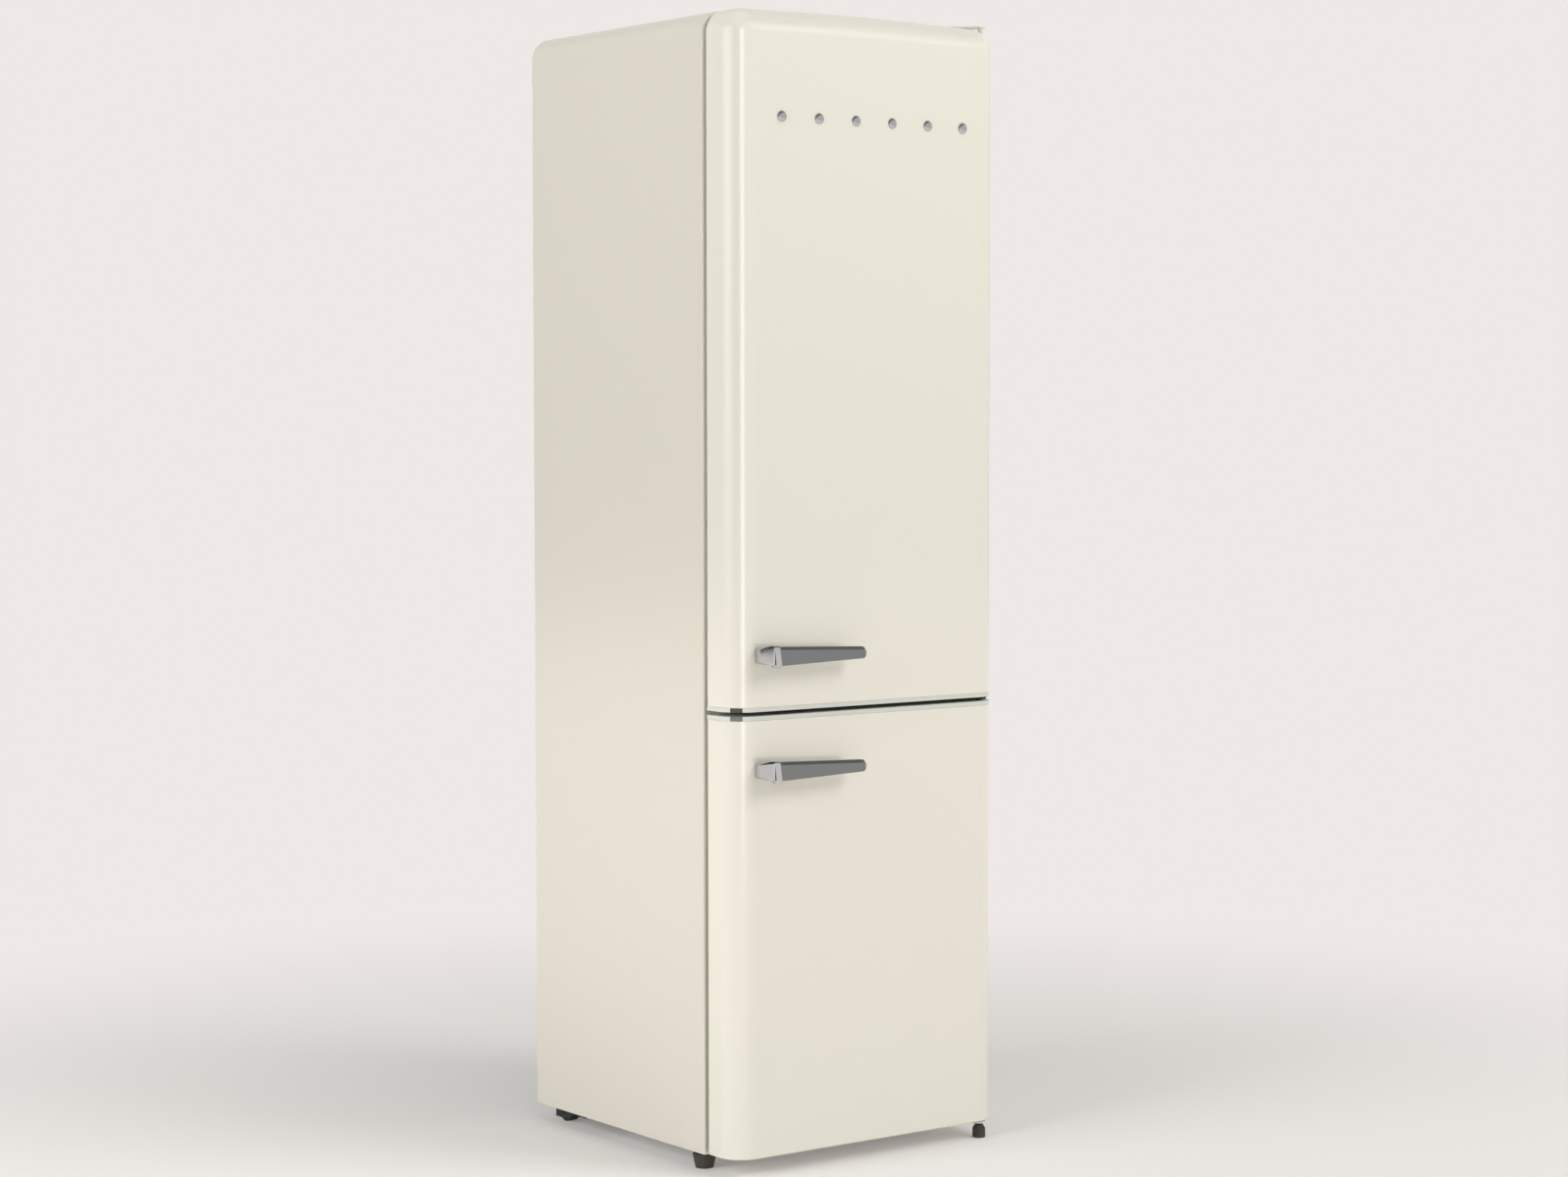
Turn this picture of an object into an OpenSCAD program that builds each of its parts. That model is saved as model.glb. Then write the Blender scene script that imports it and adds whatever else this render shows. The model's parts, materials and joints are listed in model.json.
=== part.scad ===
// Two-door fridge-freezer in a rounded, retro style: fridge above, freezer below.
// +X is the hinge side, -Y is the front, +Z is up. The origin is on the floor,
// under the middle of the whole appliance.

/* [Cabinet] */
// Width over the side panels
body_w = 550; // [546:1:560]
// Height of the roof above the floor
roof_z = 1880; // [1860:5:1900]
// Depth of the side panels
cabinet_d = 515; // [510:1:525]
// Radius that rolls the side panels into the roof
roof_r = 39; // [34:1:40]

/* [Doors] */
// Thickness of a door without its gasket
door_d = 76; // [74:1:78]
// Radius of the upright front edges of the doors
door_r = 43; // [38:1:45]
// Radius that rolls the upper door's front into its top
roll_r = 38; // [34:1:40]
// Height of the middle of the gap between the doors
split_z = 752; // [750:1:754]
// Height of the gap between the doors
door_gap = 7; // [6.5:0.5:7.5]

/* [Handles] */
// How far a handle stands out of its door
handle_proud = 42; // [38:1:45]
// Height of a handle at its fixed end
handle_h = 32; // [28:1:34]
// Height of a handle's free end
handle_tip_h = 19; // [15:1:23]

/* [Hidden] */
$fn = 48;

// Depth layout, front to back
seam_d = 11;
rear_proud = 18;
total_d = handle_proud + door_d + seam_d + cabinet_d + rear_proud;
y_handle = -total_d / 2;
y_door = y_handle + handle_proud;
y_door_back = y_door + door_d;
y_cab = y_door_back + seam_d;
y_cab_back = y_cab + cabinet_d;
y_rear = total_d / 2;

// Height layout
floor_gap = 28;
door_bottom = 30;
upper_z = split_z + door_gap / 2;
lower_z = split_z - door_gap / 2;
cap_h = 7;

// Sheet and wall thicknesses
skin_t = 1;
liner_t = 3;
door_liner_t = 2;
rail_t = 1.5;
half_w = body_w / 2;
in_w = half_w - skin_t;

// Steel face frame that the gaskets seal on
face_w = 36;
face_in = half_w - face_w;
face_top = roof_z - face_w;
face_bottom = 67;
lip_t = 2;

// Middle rail between the two compartments
rail_half = 25;
rail_d = 17;

// Fridge compartment
fridge_hw = half_w - 45;
fridge_floor = split_z + 33;
fridge_top = roof_z - 45;
fridge_back = y_cab_back - 58;

// Freezer compartment, stepped over the compressor niche
freezer_hw = half_w - 70;
freezer_floor = 82;
freezer_top = split_z - 33;
freezer_back = y_cab_back - 78;
niche_y = y_cab_back - 203;
niche_z = 240;
step_y = niche_y - 45;
step_z = niche_z + 50;
back_inset = 8;
foam_back = y_cab_back - back_inset;

// Hinge axis, with running clearance in the bushes
hinge_x = half_w - 22;
hinge_y = y_door + 27.5;
pin_r = 4;
run_gap = 0.05;
bush_r = 8;
plate_t = 3;

// Gaskets
gasket_in = 20;
gasket_w = 14;
gasket_split_in = 6;
seal_gap = 0.3;

// Door liners
ridge_w = 18;
ridge_d = 15;
dyke_d = 63;
upper_ridge_hw = half_w - 63;
lower_ridge_hw = freezer_hw - 7;

// Fridge fittings
shelf_z = [fridge_floor + 215, fridge_floor + 405, fridge_floor + 595, fridge_floor + 785];
shelf_t = 4;
shelf_front = y_cab + 110;
shelf_back = fridge_back - 19;
ledge_w = 8;
balcony_hw = upper_ridge_hw - ridge_w;
balcony_d = 108;
balcony_z = [fridge_floor + 30, fridge_floor + 395, fridge_floor + 755];

// Drawers
crisper_hw = 190;
crisper_front = y_cab + 110;
freezer_drawer_hw = 185;
freezer_drawer_front = y_cab + 37;
drawer_t = 2.5;
rib_h = 5.5;
plate_z = [step_z + 8, step_z + 214];
plate_r = 4;

// Housing under the fridge ceiling
housing_hw = 80;
housing_front = y_cab + 17;
housing_back = y_cab + 212;
housing_z = fridge_top - 38;
housing_t = 2.5;
knob_x = -40;
knob_y = y_cab + 82;
plunger_x = 55;
plunger_z = fridge_top - 17;

// Feet and rollers
foot_left_x = -(half_w - 20);
foot_left_y = y_cab + 28.5;
foot_right_x = hinge_x - 7;
foot_right_y = hinge_y - 10.5;
stem_r = 5;
roller_r = 18;
roller_x = half_w - 35.5;
roller_y = y_cab_back - 51;
roller_w = 19.6;
axle_r = 4;

// Compressor niche
deck_z = 38;
compressor_x = 70;
compressor_y = y_cab_back - 91;
pot_r = 62;
pot_z = 54.5;
pot_h = 145.5;
mount_dx = 65;
mount_dy = 48;

// Handles and trim
handle_x = -(half_w - 40);
handle_t = 14;
arm_rx = 10;
collar_x = handle_x + arm_rx + 1.5;
collar_w = 11.5;
tip_r = 5;
handle_end = -40;
handle_zs = [split_z + 95, split_z - 90];
stud_xs = [for (i = [0:5]) -180 + i * 74.4];
stud_z = roof_z - 171;
stud_r = 9;

// ---- Shared shapes ----

module block(low, high) {
    translate(low) cube(high - low);
}

// Extrudes a front view, x across and z up, from y0 back to y1.
module upright(y0, y1) {
    translate([0, y1, 0]) rotate([90, 0, 0]) linear_extrude(y1 - y0) children();
}

// Extrudes a side view, y across and z up, from x0 to x1.
module across(x0, x1) {
    translate([x0, 0, 0]) rotate([90, 0, 90]) linear_extrude(x1 - x0) children();
}

module rod(from, to, r) {
    step = to - from;
    reach = norm(step);
    translate(from)
        rotate([0, acos(step[2] / reach), atan2(step[1], step[0])])
            cylinder(h = reach, r = r);
}

// A tube through a list of points, with a brazed joint at each bend.
module pipe(points, r) {
    for (i = [1:len(points) - 1]) rod(points[i - 1], points[i], r, $fn = 10);
    for (i = [1:len(points) - 2]) translate(points[i]) sphere(r + 0.7, $fn = 10);
}

// Front view with a flat bottom and two round top corners.
module arch(hw, z0, z1, r) {
    translate([-hw, z0]) square([2 * hw, z1 - z0 - r]);
    translate([-hw + r, z0]) square([2 * (hw - r), z1 - z0]);
    for (side = [-1, 1]) translate([side * (hw - r), z1 - r]) circle(r);
}

// Plan view of a door, inset from its outside, with round front corners.
module door_plan(inset, back) {
    hw = half_w - inset;
    front = y_door + inset;
    r = door_r - inset;
    translate([-hw, front + r]) square([2 * hw, back - front - r]);
    intersection() {
        translate([-hw, front]) square([2 * hw, r]);
        union() {
            translate([-hw + r, front]) square([2 * (hw - r), r]);
            for (side = [-1, 1]) translate([side * (hw - r), front + r]) circle(r);
        }
    }
}

// Side view of the upper door, rolled at the top of its front.
module door_roll(inset, z0) {
    front = y_door + inset;
    top = roof_z - inset;
    r = roll_r - inset;
    translate([front, z0]) square([door_d + 10, top - z0 - r]);
    translate([front + r, z0]) square([door_d + 10 - r, top - z0]);
    translate([front + r, top - r]) circle(r);
}

module upper_block(inset, z0, back) {
    intersection() {
        translate([0, 0, z0]) linear_extrude(roof_z - z0) door_plan(inset, back);
        upright(y_door - 1, back + 1) arch(half_w - inset, z0 - 1, roof_z - inset, roof_r - inset);
        across(-half_w - 1, half_w + 1) door_roll(inset, z0 - 1);
    }
}

module lower_block(inset, z0, z1, back) {
    translate([0, 0, z0]) linear_extrude(z1 - z0) door_plan(inset, back);
}

// Raised frame on the inside of a door.
module ridge_frame(hw, z0, z1, inset, y0) {
    y1 = y_door_back + ridge_d - inset;
    difference() {
        block([-hw + inset, y0, z0 + inset], [hw - inset, y1, z1 - inset]);
        block(
            [-hw + ridge_w - inset, y0 - 1, z0 + ridge_w - inset],
            [hw - ridge_w + inset, y1 + 1, z1 - ridge_w + inset]
        );
    }
}

// The two upright walls that carry the balconies.
module dykes(inset, y0) {
    z0 = fridge_floor + 20;
    z1 = fridge_top - 25;
    for (side = [-1, 1]) {
        mid = side * (upper_ridge_hw - ridge_w / 2);
        half = ridge_w / 2 - inset;
        block(
            [mid - half, y0, z0 + inset],
            [mid + half, y_door_back + dyke_d - inset, z1 - inset]
        );
    }
}

module upper_plug_shape(inset, y0) {
    ridge_frame(upper_ridge_hw, fridge_floor + 5, fridge_top - 10, inset, y0);
    dykes(inset, y0);
}

module lower_plug_shape(inset, y0) {
    ridge_frame(lower_ridge_hw, freezer_floor + 8, freezer_top - 8, inset, y0);
}

module gasket(z0, z1) {
    hw = half_w - gasket_in;
    difference() {
        block([-hw, y_door_back, z0], [hw, y_cab - seal_gap, z1]);
        block(
            [-hw + gasket_w, y_door_back - 1, z0 + gasket_w],
            [hw - gasket_w, y_cab, z1 - gasket_w]
        );
        // Bellows groove round the outside
        difference() {
            block([-hw - 1, y_door_back + 4, z0 - 1], [hw + 1, y_door_back + 6, z1 + 1]);
            block([-hw + 3, y_door_back + 3, z0 + 3], [hw - 3, y_door_back + 7, z1 - 3]);
        }
    }
}

// The spare hinge place at the free corner of a door's end cap.
module corner_place(z0, z1) {
    reach = door_r * sqrt(0.5);
    translate([-half_w + door_r - reach, y_door + door_r - reach, z0])
        rotate([0, 0, 45])
            translate([-6, -10, 0])
                cube([14, 20, z1 - z0]);
}

module hinge_hole(z0, z1) {
    translate([hinge_x, hinge_y, z0]) cylinder(h = z1 - z0, r = bush_r);
}

module bush(z0, z1) {
    difference() {
        hinge_hole(z0, z1);
        translate([hinge_x, hinge_y, z0 - 1]) cylinder(h = z1 - z0 + 2, r = pin_r + run_gap);
    }
}

module hinge_pin(z0, z1) {
    translate([hinge_x, hinge_y, z0]) cylinder(h = z1 - z0, r = pin_r);
}

// An open-topped drawer with a finger slot through its front.
module drawer(hw, front, back, z0, z1) {
    difference() {
        block([-hw, front, z0], [hw, back, z1]);
        block(
            [-hw + drawer_t, front + drawer_t, z0 + drawer_t],
            [hw - drawer_t, back - drawer_t, z1 + 1]
        );
        block([-65, front - 1, z1 - 40], [65, front + drawer_t + 1, z1 - 14]);
    }
}

module balcony_plan(inset) {
    r = 24 - inset;
    hw = balcony_hw - inset;
    y0 = y_door_back + inset;
    y1 = y_door_back + balcony_d - inset;
    translate([-hw, y0]) square([2 * hw, y1 - y0 - r]);
    translate([-hw + r, y0]) square([2 * (hw - r), y1 - y0]);
    for (side = [-1, 1]) translate([side * (hw - r), y1 - r]) circle(r);
}

module balcony(z, h) {
    difference() {
        translate([0, 0, z]) linear_extrude(h) balcony_plan(0);
        translate([0, 0, z + 3]) linear_extrude(h) balcony_plan(3);
    }
}

// Chrome arm that curves out of the door, and the collar at its end.
module handle_base(z) {
    hub_x = handle_x + arm_rx;
    sweep = [for (a = [180:7.5:270]) [hub_x + arm_rx * cos(a), y_door + handle_proud * sin(a)]];
    back = [
        [collar_x + 0.5, y_handle],
        [collar_x + 0.5, y_handle + handle_t],
        [collar_x + 2, y_handle + handle_t + 5],
        [collar_x + 3.5, y_door]
    ];
    translate([0, 0, z - handle_h / 2]) linear_extrude(handle_h - 1) polygon(concat(sweep, back));
    difference() {
        block(
            [collar_x, y_handle, z - handle_h / 2 - 3],
            [collar_x + collar_w, y_handle + handle_t + 2, z + handle_h / 2 + 1]
        );
        block(
            [collar_x + collar_w - 2, y_handle + 1.5, z - handle_h / 2],
            [collar_x + collar_w + 1, y_handle + handle_t, z + handle_h / 2 - 1]
        );
    }
}

// Blade of a handle: its root is sunk into the collar, and it tapers to a rounded end
module handle_blade(z) {
    x0 = collar_x + collar_w - 2;
    x1 = handle_end - tip_r;
    low = z - 1 - handle_tip_h / 2 + tip_r;
    high = z - 1 + handle_tip_h / 2 - tip_r;
    tip = concat(
        [for (a = [-90:15:0]) [x1 + tip_r * cos(a), low + tip_r * sin(a)]],
        [for (a = [0:15:90]) [x1 + tip_r * cos(a), high + tip_r * sin(a)]]
    );
    upright(y_handle + 1.5, y_handle + handle_t)
        polygon(concat([[x0, z - handle_h / 2]], tip, [[x0, z + handle_h / 2 - 1]]));
}

module screw(head, tip) {
    axis = (tip - head) / norm(tip - head);
    rod(head, head - 2.5 * axis, 5);
    rod(head, tip, 2.4);
}

// Side view of the freezer compartment, stepped over the niche.
module freezer_side(grow) {
    polygon([
        [y_cab - 1, freezer_floor - grow],
        [step_y + grow, freezer_floor - grow],
        [step_y + grow, step_z - grow],
        [freezer_back + grow, step_z - grow],
        [freezer_back + grow, freezer_top + grow],
        [y_cab - 1, freezer_top + grow]
    ]);
}

module freezer_space(grow) {
    across(-freezer_hw - grow, freezer_hw + grow) freezer_side(grow);
}

module fridge_space(grow) {
    block(
        [-fridge_hw - grow, y_cab - 1, fridge_floor - grow],
        [fridge_hw + grow, fridge_back + grow, fridge_top + grow]
    );
}

module drain_hole() {
    rod([90, fridge_back - 1, fridge_floor + 15], [90, y_cab_back + 3, fridge_floor + 15], 6);
}

// ---- Cabinet ----

module cabinet_shell() {
    color("#E0DCD0") difference() {
        upright(y_cab, y_cab_back) arch(half_w, floor_gap, roof_z, roof_r);
        upright(y_cab + skin_t, y_cab_back + 1)
            arch(in_w, floor_gap - 1, roof_z - skin_t, roof_r - skin_t);
        block([-face_in, y_cab - 1, floor_gap - 1], [face_in, y_cab + skin_t + 1, face_top]);
    }
}

module back_panel() {
    color("#8E8E8A") difference() {
        upright(foam_back, foam_back + skin_t)
            arch(in_w, niche_z + rail_t, roof_z - skin_t, roof_r - skin_t);
        drain_hole();
    }
}

module base_plate() {
    color("#9A9C9C") difference() {
        union() {
            across(-in_w, in_w) polygon([
                [y_cab + skin_t, floor_gap],
                [niche_y + rail_t, floor_gap],
                [niche_y + rail_t, niche_z],
                [foam_back, niche_z],
                [foam_back, niche_z + rail_t],
                [niche_y, niche_z + rail_t],
                [niche_y, floor_gap + rail_t],
                [y_cab + skin_t, floor_gap + rail_t]
            ]);
            block([-face_in, y_cab, floor_gap], [face_in, y_cab + rail_t, face_bottom]);
            // Nut for the levelling foot, welded on
            translate([foot_left_x, foot_left_y, floor_gap]) cylinder(h = 24, r = 9);
        }
        translate([foot_left_x, foot_left_y, floor_gap - 1]) cylinder(h = 22, r = stem_r + run_gap);
    }
}

module mid_rail() {
    z0 = split_z - rail_half;
    z1 = split_z + rail_half;
    color("#D9D4C6") difference() {
        block([-face_in, y_cab, z0], [face_in, y_cab + rail_d, z1]);
        block(
            [-face_in - 1, y_cab + rail_t, z0 + rail_t],
            [face_in + 1, y_cab + rail_d + 1, z1 - rail_t]
        );
    }
}

module fridge_liner() {
    color("#F4F4F0") {
        difference() {
            union() {
                intersection() {
                    fridge_space(liner_t);
                    block([-half_w, y_cab, 0], [half_w, y_cab_back, roof_z]);
                }
                block(
                    [-face_in, y_cab, split_z + rail_half],
                    [face_in, y_cab + lip_t, face_top]
                );
            }
            fridge_space(0);
            drain_hole();
        }
        for (z = shelf_z, side = [-1, 1]) {
            x0 = side * (fridge_hw - ledge_w / 2);
            block(
                [x0 - ledge_w / 2, shelf_front + 14, z - 8],
                [x0 + ledge_w / 2, shelf_back, z]
            );
        }
        for (x = [-120, 120]) {
            block([x - 4, crisper_front + 10, fridge_floor], [x + 4, shelf_back, fridge_floor + 4.5]);
        }
    }
}

module freezer_liner() {
    color("#F2F4F4") {
        difference() {
            union() {
                intersection() {
                    freezer_space(liner_t);
                    block([-half_w, y_cab, 0], [half_w, y_cab_back, roof_z]);
                }
                block(
                    [-face_in, y_cab, face_bottom],
                    [face_in, y_cab + lip_t, split_z - rail_half]
                );
            }
            freezer_space(0);
        }
        for (z = plate_z, side = [-1, 1]) {
            x0 = side * (freezer_hw - 7.5);
            block(
                [x0 - 7.5, freezer_drawer_front + 15, z - plate_r - 6],
                [x0 + 7.5, freezer_back, z - plate_r]
            );
        }
        for (x = [-120, 120]) {
            block(
                [x - 4, freezer_drawer_front + 5, freezer_floor],
                [x + 4, step_y, freezer_floor + rib_h]
            );
        }
    }
}

module foam_insulation() {
    color("#E8D9A8") difference() {
        intersection() {
            upright(y_cab + skin_t, foam_back)
                arch(in_w, floor_gap + rail_t, roof_z - skin_t, roof_r - skin_t);
            across(-in_w, in_w) polygon([
                [y_cab, floor_gap + rail_t],
                [niche_y, floor_gap + rail_t],
                [niche_y, niche_z + rail_t],
                [foam_back, niche_z + rail_t],
                [foam_back, roof_z],
                [y_cab, roof_z]
            ]);
        }
        fridge_space(liner_t);
        freezer_space(liner_t);
        drain_hole();
        block([-face_in, y_cab, floor_gap], [face_in, y_cab + lip_t, face_top]);
        block(
            [-face_in, y_cab, split_z - rail_half],
            [face_in, y_cab + rail_d, split_z + rail_half]
        );
        translate([foot_left_x, foot_left_y, floor_gap]) cylinder(h = 24, r = 9);
    }
}

module top_hinge() {
    arm_z = roof_z + 1;
    color("#DED9CB") {
        block([180, y_cab + 7, roof_z], [228, y_cab + 77, roof_z + 4]);
        translate([0, 0, arm_z]) linear_extrude(plate_t) {
            translate([180, y_cab - 3]) square([48, 20]);
            polygon([
                [180, y_cab - 3],
                [228, y_cab - 3],
                [hinge_x + 7.9, hinge_y + 1.2],
                [hinge_x - 7.6, hinge_y - 2.4]
            ]);
            translate([hinge_x, hinge_y]) circle(8);
        }
        hinge_pin(roof_z - 28, arm_z + plate_t);
    }
}

module top_hinge_cover() {
    front = y_cab + 4;
    back = y_cab + 90;
    color("#DAD6C8") difference() {
        across(174, 234) polygon([
            [front, roof_z],
            [back, roof_z],
            [back - 5, roof_z + 13],
            [front + 48, roof_z + 13],
            [front, roof_z + 8]
        ]);
        across(176, 232) polygon([
            [front - 1, roof_z - 1],
            [back - 2, roof_z - 1],
            [back - 7, roof_z + 11],
            [front + 48, roof_z + 11],
            [front - 1, roof_z + 6.3]
        ]);
    }
}

module middle_hinge() {
    color("#1E1E20") {
        translate([0, 0, split_z - plate_t / 2]) linear_extrude(plate_t) {
            polygon([
                [half_w - 88, y_cab],
                [half_w - 7, y_cab],
                [hinge_x + 12, hinge_y],
                [hinge_x - 12, hinge_y - 1]
            ]);
            translate([hinge_x, hinge_y]) circle(12.5);
        }
        block([half_w - 105, y_cab - 2.5, split_z - 8.5], [half_w - 36, y_cab, split_z + 8.5]);
        hinge_pin(split_z - 18, split_z + 18);
    }
}

module bottom_hinge() {
    color("#D9D4C6") difference() {
        union() {
            translate([0, 0, floor_gap - plate_t]) linear_extrude(plate_t) {
                polygon([
                    [half_w - 80, y_cab + 40],
                    [half_w - 10, y_cab + 40],
                    [hinge_x + 12, hinge_y],
                    [foot_right_x - 10, foot_right_y],
                    [half_w - 80, y_cab + 5]
                ]);
                translate([hinge_x, hinge_y]) circle(12.5);
                translate([foot_right_x, foot_right_y]) circle(10.5);
            }
            hinge_pin(floor_gap - plate_t, floor_gap + 18);
        }
        translate([foot_right_x, foot_right_y, floor_gap - plate_t - 1])
            cylinder(h = plate_t + 2, r = stem_r + run_gap);
    }
}

module cabinet_screws() {
    top = roof_z + 4;
    color("#B8BABC") {
        for (p = [[190, 55], [218, 55], [204, 22]]) {
            screw([p[0], y_cab + p[1], top], [p[0], y_cab + p[1], top - 20]);
        }
        for (x = [half_w - 98, half_w - 44]) {
            screw([x, y_cab - 2.5, split_z], [x, y_cab + 10, split_z]);
        }
        for (x = [half_w - 66, half_w - 26]) {
            screw([x, y_cab + 22, floor_gap - plate_t], [x, y_cab + 22, floor_gap + 12]);
        }
        for (dx = [-1, 1], dy = [-1, 1]) {
            x = compressor_x + dx * mount_dx;
            y = compressor_y + dy * mount_dy;
            screw([x, y, pot_z], [x, y, deck_z - 6]);
        }
    }
}

module fridge_cold_plate() {
    y0 = fridge_back - 4;
    z0 = fridge_top - 500;
    color("#E9ECEE") {
        block([-190, y0, z0], [190, fridge_back, z0 + 460]);
        for (i = [-4:4]) {
            block([i * 40 - 5, y0 - 1.5, z0 + 20], [i * 40 + 5, y0, z0 + 440]);
        }
    }
}

// Evaporator plate that carries a drawer, with a refrigerant channel raised in it, to and fro.
module plate_shelf(z) {
    y0 = freezer_drawer_front + 25;
    pitch = 60;
    runs = 7;
    bend_x = 180;
    half = 5;
    block([-freezer_hw + 1, y0 - 12, z - plate_r], [freezer_hw - 1, y0 + (runs - 1) * pitch + 12, z - 2]);
    for (i = [0:runs - 1]) {
        y = y0 + i * pitch;
        block([-bend_x, y - half, z - 2], [bend_x, y + half, z + 2]);
    }
    for (i = [0:runs - 2]) {
        x = (i % 2 == 0) ? bend_x : -bend_x;
        y = y0 + i * pitch;
        block([x - half, y - half, z - 2], [x + half, y + pitch + half, z + 2]);
    }
}

module freezer_plate_shelves() {
    color("#D5DADC") for (z = plate_z) plate_shelf(z);
}

module glass_shelves() {
    color("#CFE3DF", 0.5) for (z = shelf_z) {
        block([-fridge_hw + 2, shelf_front + 6, z], [fridge_hw - 2, shelf_back, z + shelf_t]);
    }
}

module shelf_trims() {
    color("#F7F7F5") for (z = shelf_z) {
        difference() {
            block([-fridge_hw + 2, shelf_front - 2, z - 4], [fridge_hw - 2, shelf_front + 13, z + 8]);
            block([-fridge_hw, shelf_front + 6, z], [fridge_hw, shelf_front + 14, z + shelf_t]);
        }
        difference() {
            block([-210, shelf_back - 6, z - 4], [210, shelf_back + 5, z + 16]);
            block([-211, shelf_back - 7, z], [211, shelf_back, z + shelf_t]);
        }
    }
}

module thermostat_housing() {
    t = housing_t;
    color("#F3F3EE") difference() {
        block([-housing_hw, housing_front, housing_z], [housing_hw, housing_back, fridge_top]);
        block(
            [-housing_hw + t, housing_front + t, housing_z + t],
            [housing_hw - t, housing_back - t, fridge_top + 1]
        );
        // Lamp window
        block([-55, housing_back - 80, housing_z - 1], [55, housing_back - 15, housing_z + t + 1]);
        translate([knob_x, knob_y, housing_z - 1]) cylinder(h = t + 2, r = 4 + run_gap);
        rod(
            [plunger_x, housing_front - 1, plunger_z],
            [plunger_x, housing_front + t + 1, plunger_z],
            4 + run_gap
        );
    }
}

module lamp_bulb() {
    y = housing_back - 47;
    z = fridge_top - 18;
    color("#FFF6DC") {
        rod([-28, y, z], [18, y, z], 9);
        rod([18, y, z], [34, y, z], 6.5);
        block([34, y - 10, z - 10], [42, y + 10, fridge_top]);
    }
}

module condenser() {
    r = 2.5;
    y = y_rear - r;
    z0 = 440;
    pitch = 70;
    runs = 17;
    bend_x = 180;
    color("#222224") {
        for (i = [0:runs - 1]) rod([-bend_x, y, z0 + i * pitch], [bend_x, y, z0 + i * pitch], r);
        for (i = [0:runs - 2]) {
            side = (i % 2 == 0) ? 1 : -1;
            translate([side * bend_x, y, z0 + (i + 0.5) * pitch])
                rotate([90, 0, 0])
                    rotate([0, 0, -90 * side])
                        rotate_extrude(angle = 180) translate([pitch / 2, 0]) circle(r);
        }
        for (i = [0:7]) {
            x = -168 + i * 48;
            block([x - 1.2, y - 3.6, z0 - 15], [x + 1.2, y - 1.2, z0 + (runs - 1) * pitch + 15]);
        }
        for (x = [-140, 140], k = [2, 14]) {
            z = z0 + k * pitch;
            block([x - 7, foam_back + skin_t, z - 7], [x + 7, y, z + 7]);
        }
    }
}

module compressor() {
    color("#1C1C1E") translate([compressor_x, compressor_y, 0]) {
        block([-78, -58, pot_z - 2.5], [78, 58, pot_z]);
        translate([0, 0, pot_z]) rotate_extrude() {
            square([pot_r, pot_h - 34]);
            square([pot_r - 34, pot_h]);
            intersection() {
                translate([pot_r - 34, pot_h - 34]) circle(34);
                square([pot_r, pot_h]);
            }
        }
    }
}

module compressor_mounts() {
    color("#2B2B2B") for (dx = [-1, 1], dy = [-1, 1]) {
        translate([compressor_x + dx * mount_dx, compressor_y + dy * mount_dy, deck_z + 2])
            cylinder(h = pot_z - 2.5 - deck_z - 2, r = 10);
    }
}

// Cross deck under the compressor, with end plates and the rollers' brackets.
module compressor_rail() {
    y0 = niche_y + 30;
    y1 = foam_back - 5;
    color("#26262A") {
        block([-in_w, y0, deck_z], [in_w, y1, deck_z + 2]);
        block([-in_w + 60, y0, deck_z - 8], [in_w - 60, y0 + 2, deck_z]);
        block([-in_w + 60, y1 - 2, deck_z - 8], [in_w - 60, y1, deck_z]);
        for (side = [-1, 1]) {
            plate_x = side * (in_w - 1);
            block([plate_x - 1, niche_y + 2, floor_gap + 2], [plate_x + 1, foam_back, niche_z]);
            for (dx = [-12.5, 12.5]) {
                cheek = side * roller_x + dx;
                across(cheek - 1, cheek + 1) polygon([
                    [roller_y - 78, deck_z],
                    [roller_y - 72, 17],
                    [roller_y - 30, 17],
                    [roller_y - 14, 6],
                    [roller_y + 24, 6],
                    [roller_y + 24, deck_z]
                ]);
            }
            rod(
                [side * roller_x - 15.5, roller_y, roller_r],
                [side * roller_x + 15.5, roller_y, roller_r],
                axle_r
            );
        }
    }
}

module relay_box() {
    color("#3A3A3A") difference() {
        block(
            [compressor_x - 26, compressor_y - pot_r - 30, pot_z + 25],
            [compressor_x + 26, compressor_y - pot_r + 10, pot_z + 85]
        );
        translate([compressor_x, compressor_y, pot_z]) cylinder(h = pot_h, r = pot_r);
    }
}

module drip_tray() {
    z0 = pot_z + pot_h;
    color("#D8D8D2") difference() {
        block([compressor_x - 70, compressor_y - 55, z0], [compressor_x + 70, compressor_y + 60, z0 + 26]);
        block(
            [compressor_x - 68, compressor_y - 53, z0 + 2],
            [compressor_x + 68, compressor_y + 58, z0 + 27]
        );
    }
}

module drain_tube() {
    z = fridge_floor + 15;
    y = y_cab_back + 3;
    color("#E4E4DE") {
        rod([90, fridge_back, z], [90, y + 2, z], 6);
        rod([90, y, z + 6], [90, y, niche_z - 14], 5);
        rod([90, y, niche_z - 16], [90, compressor_y + 50, niche_z - 8], 4);
    }
}

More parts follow.
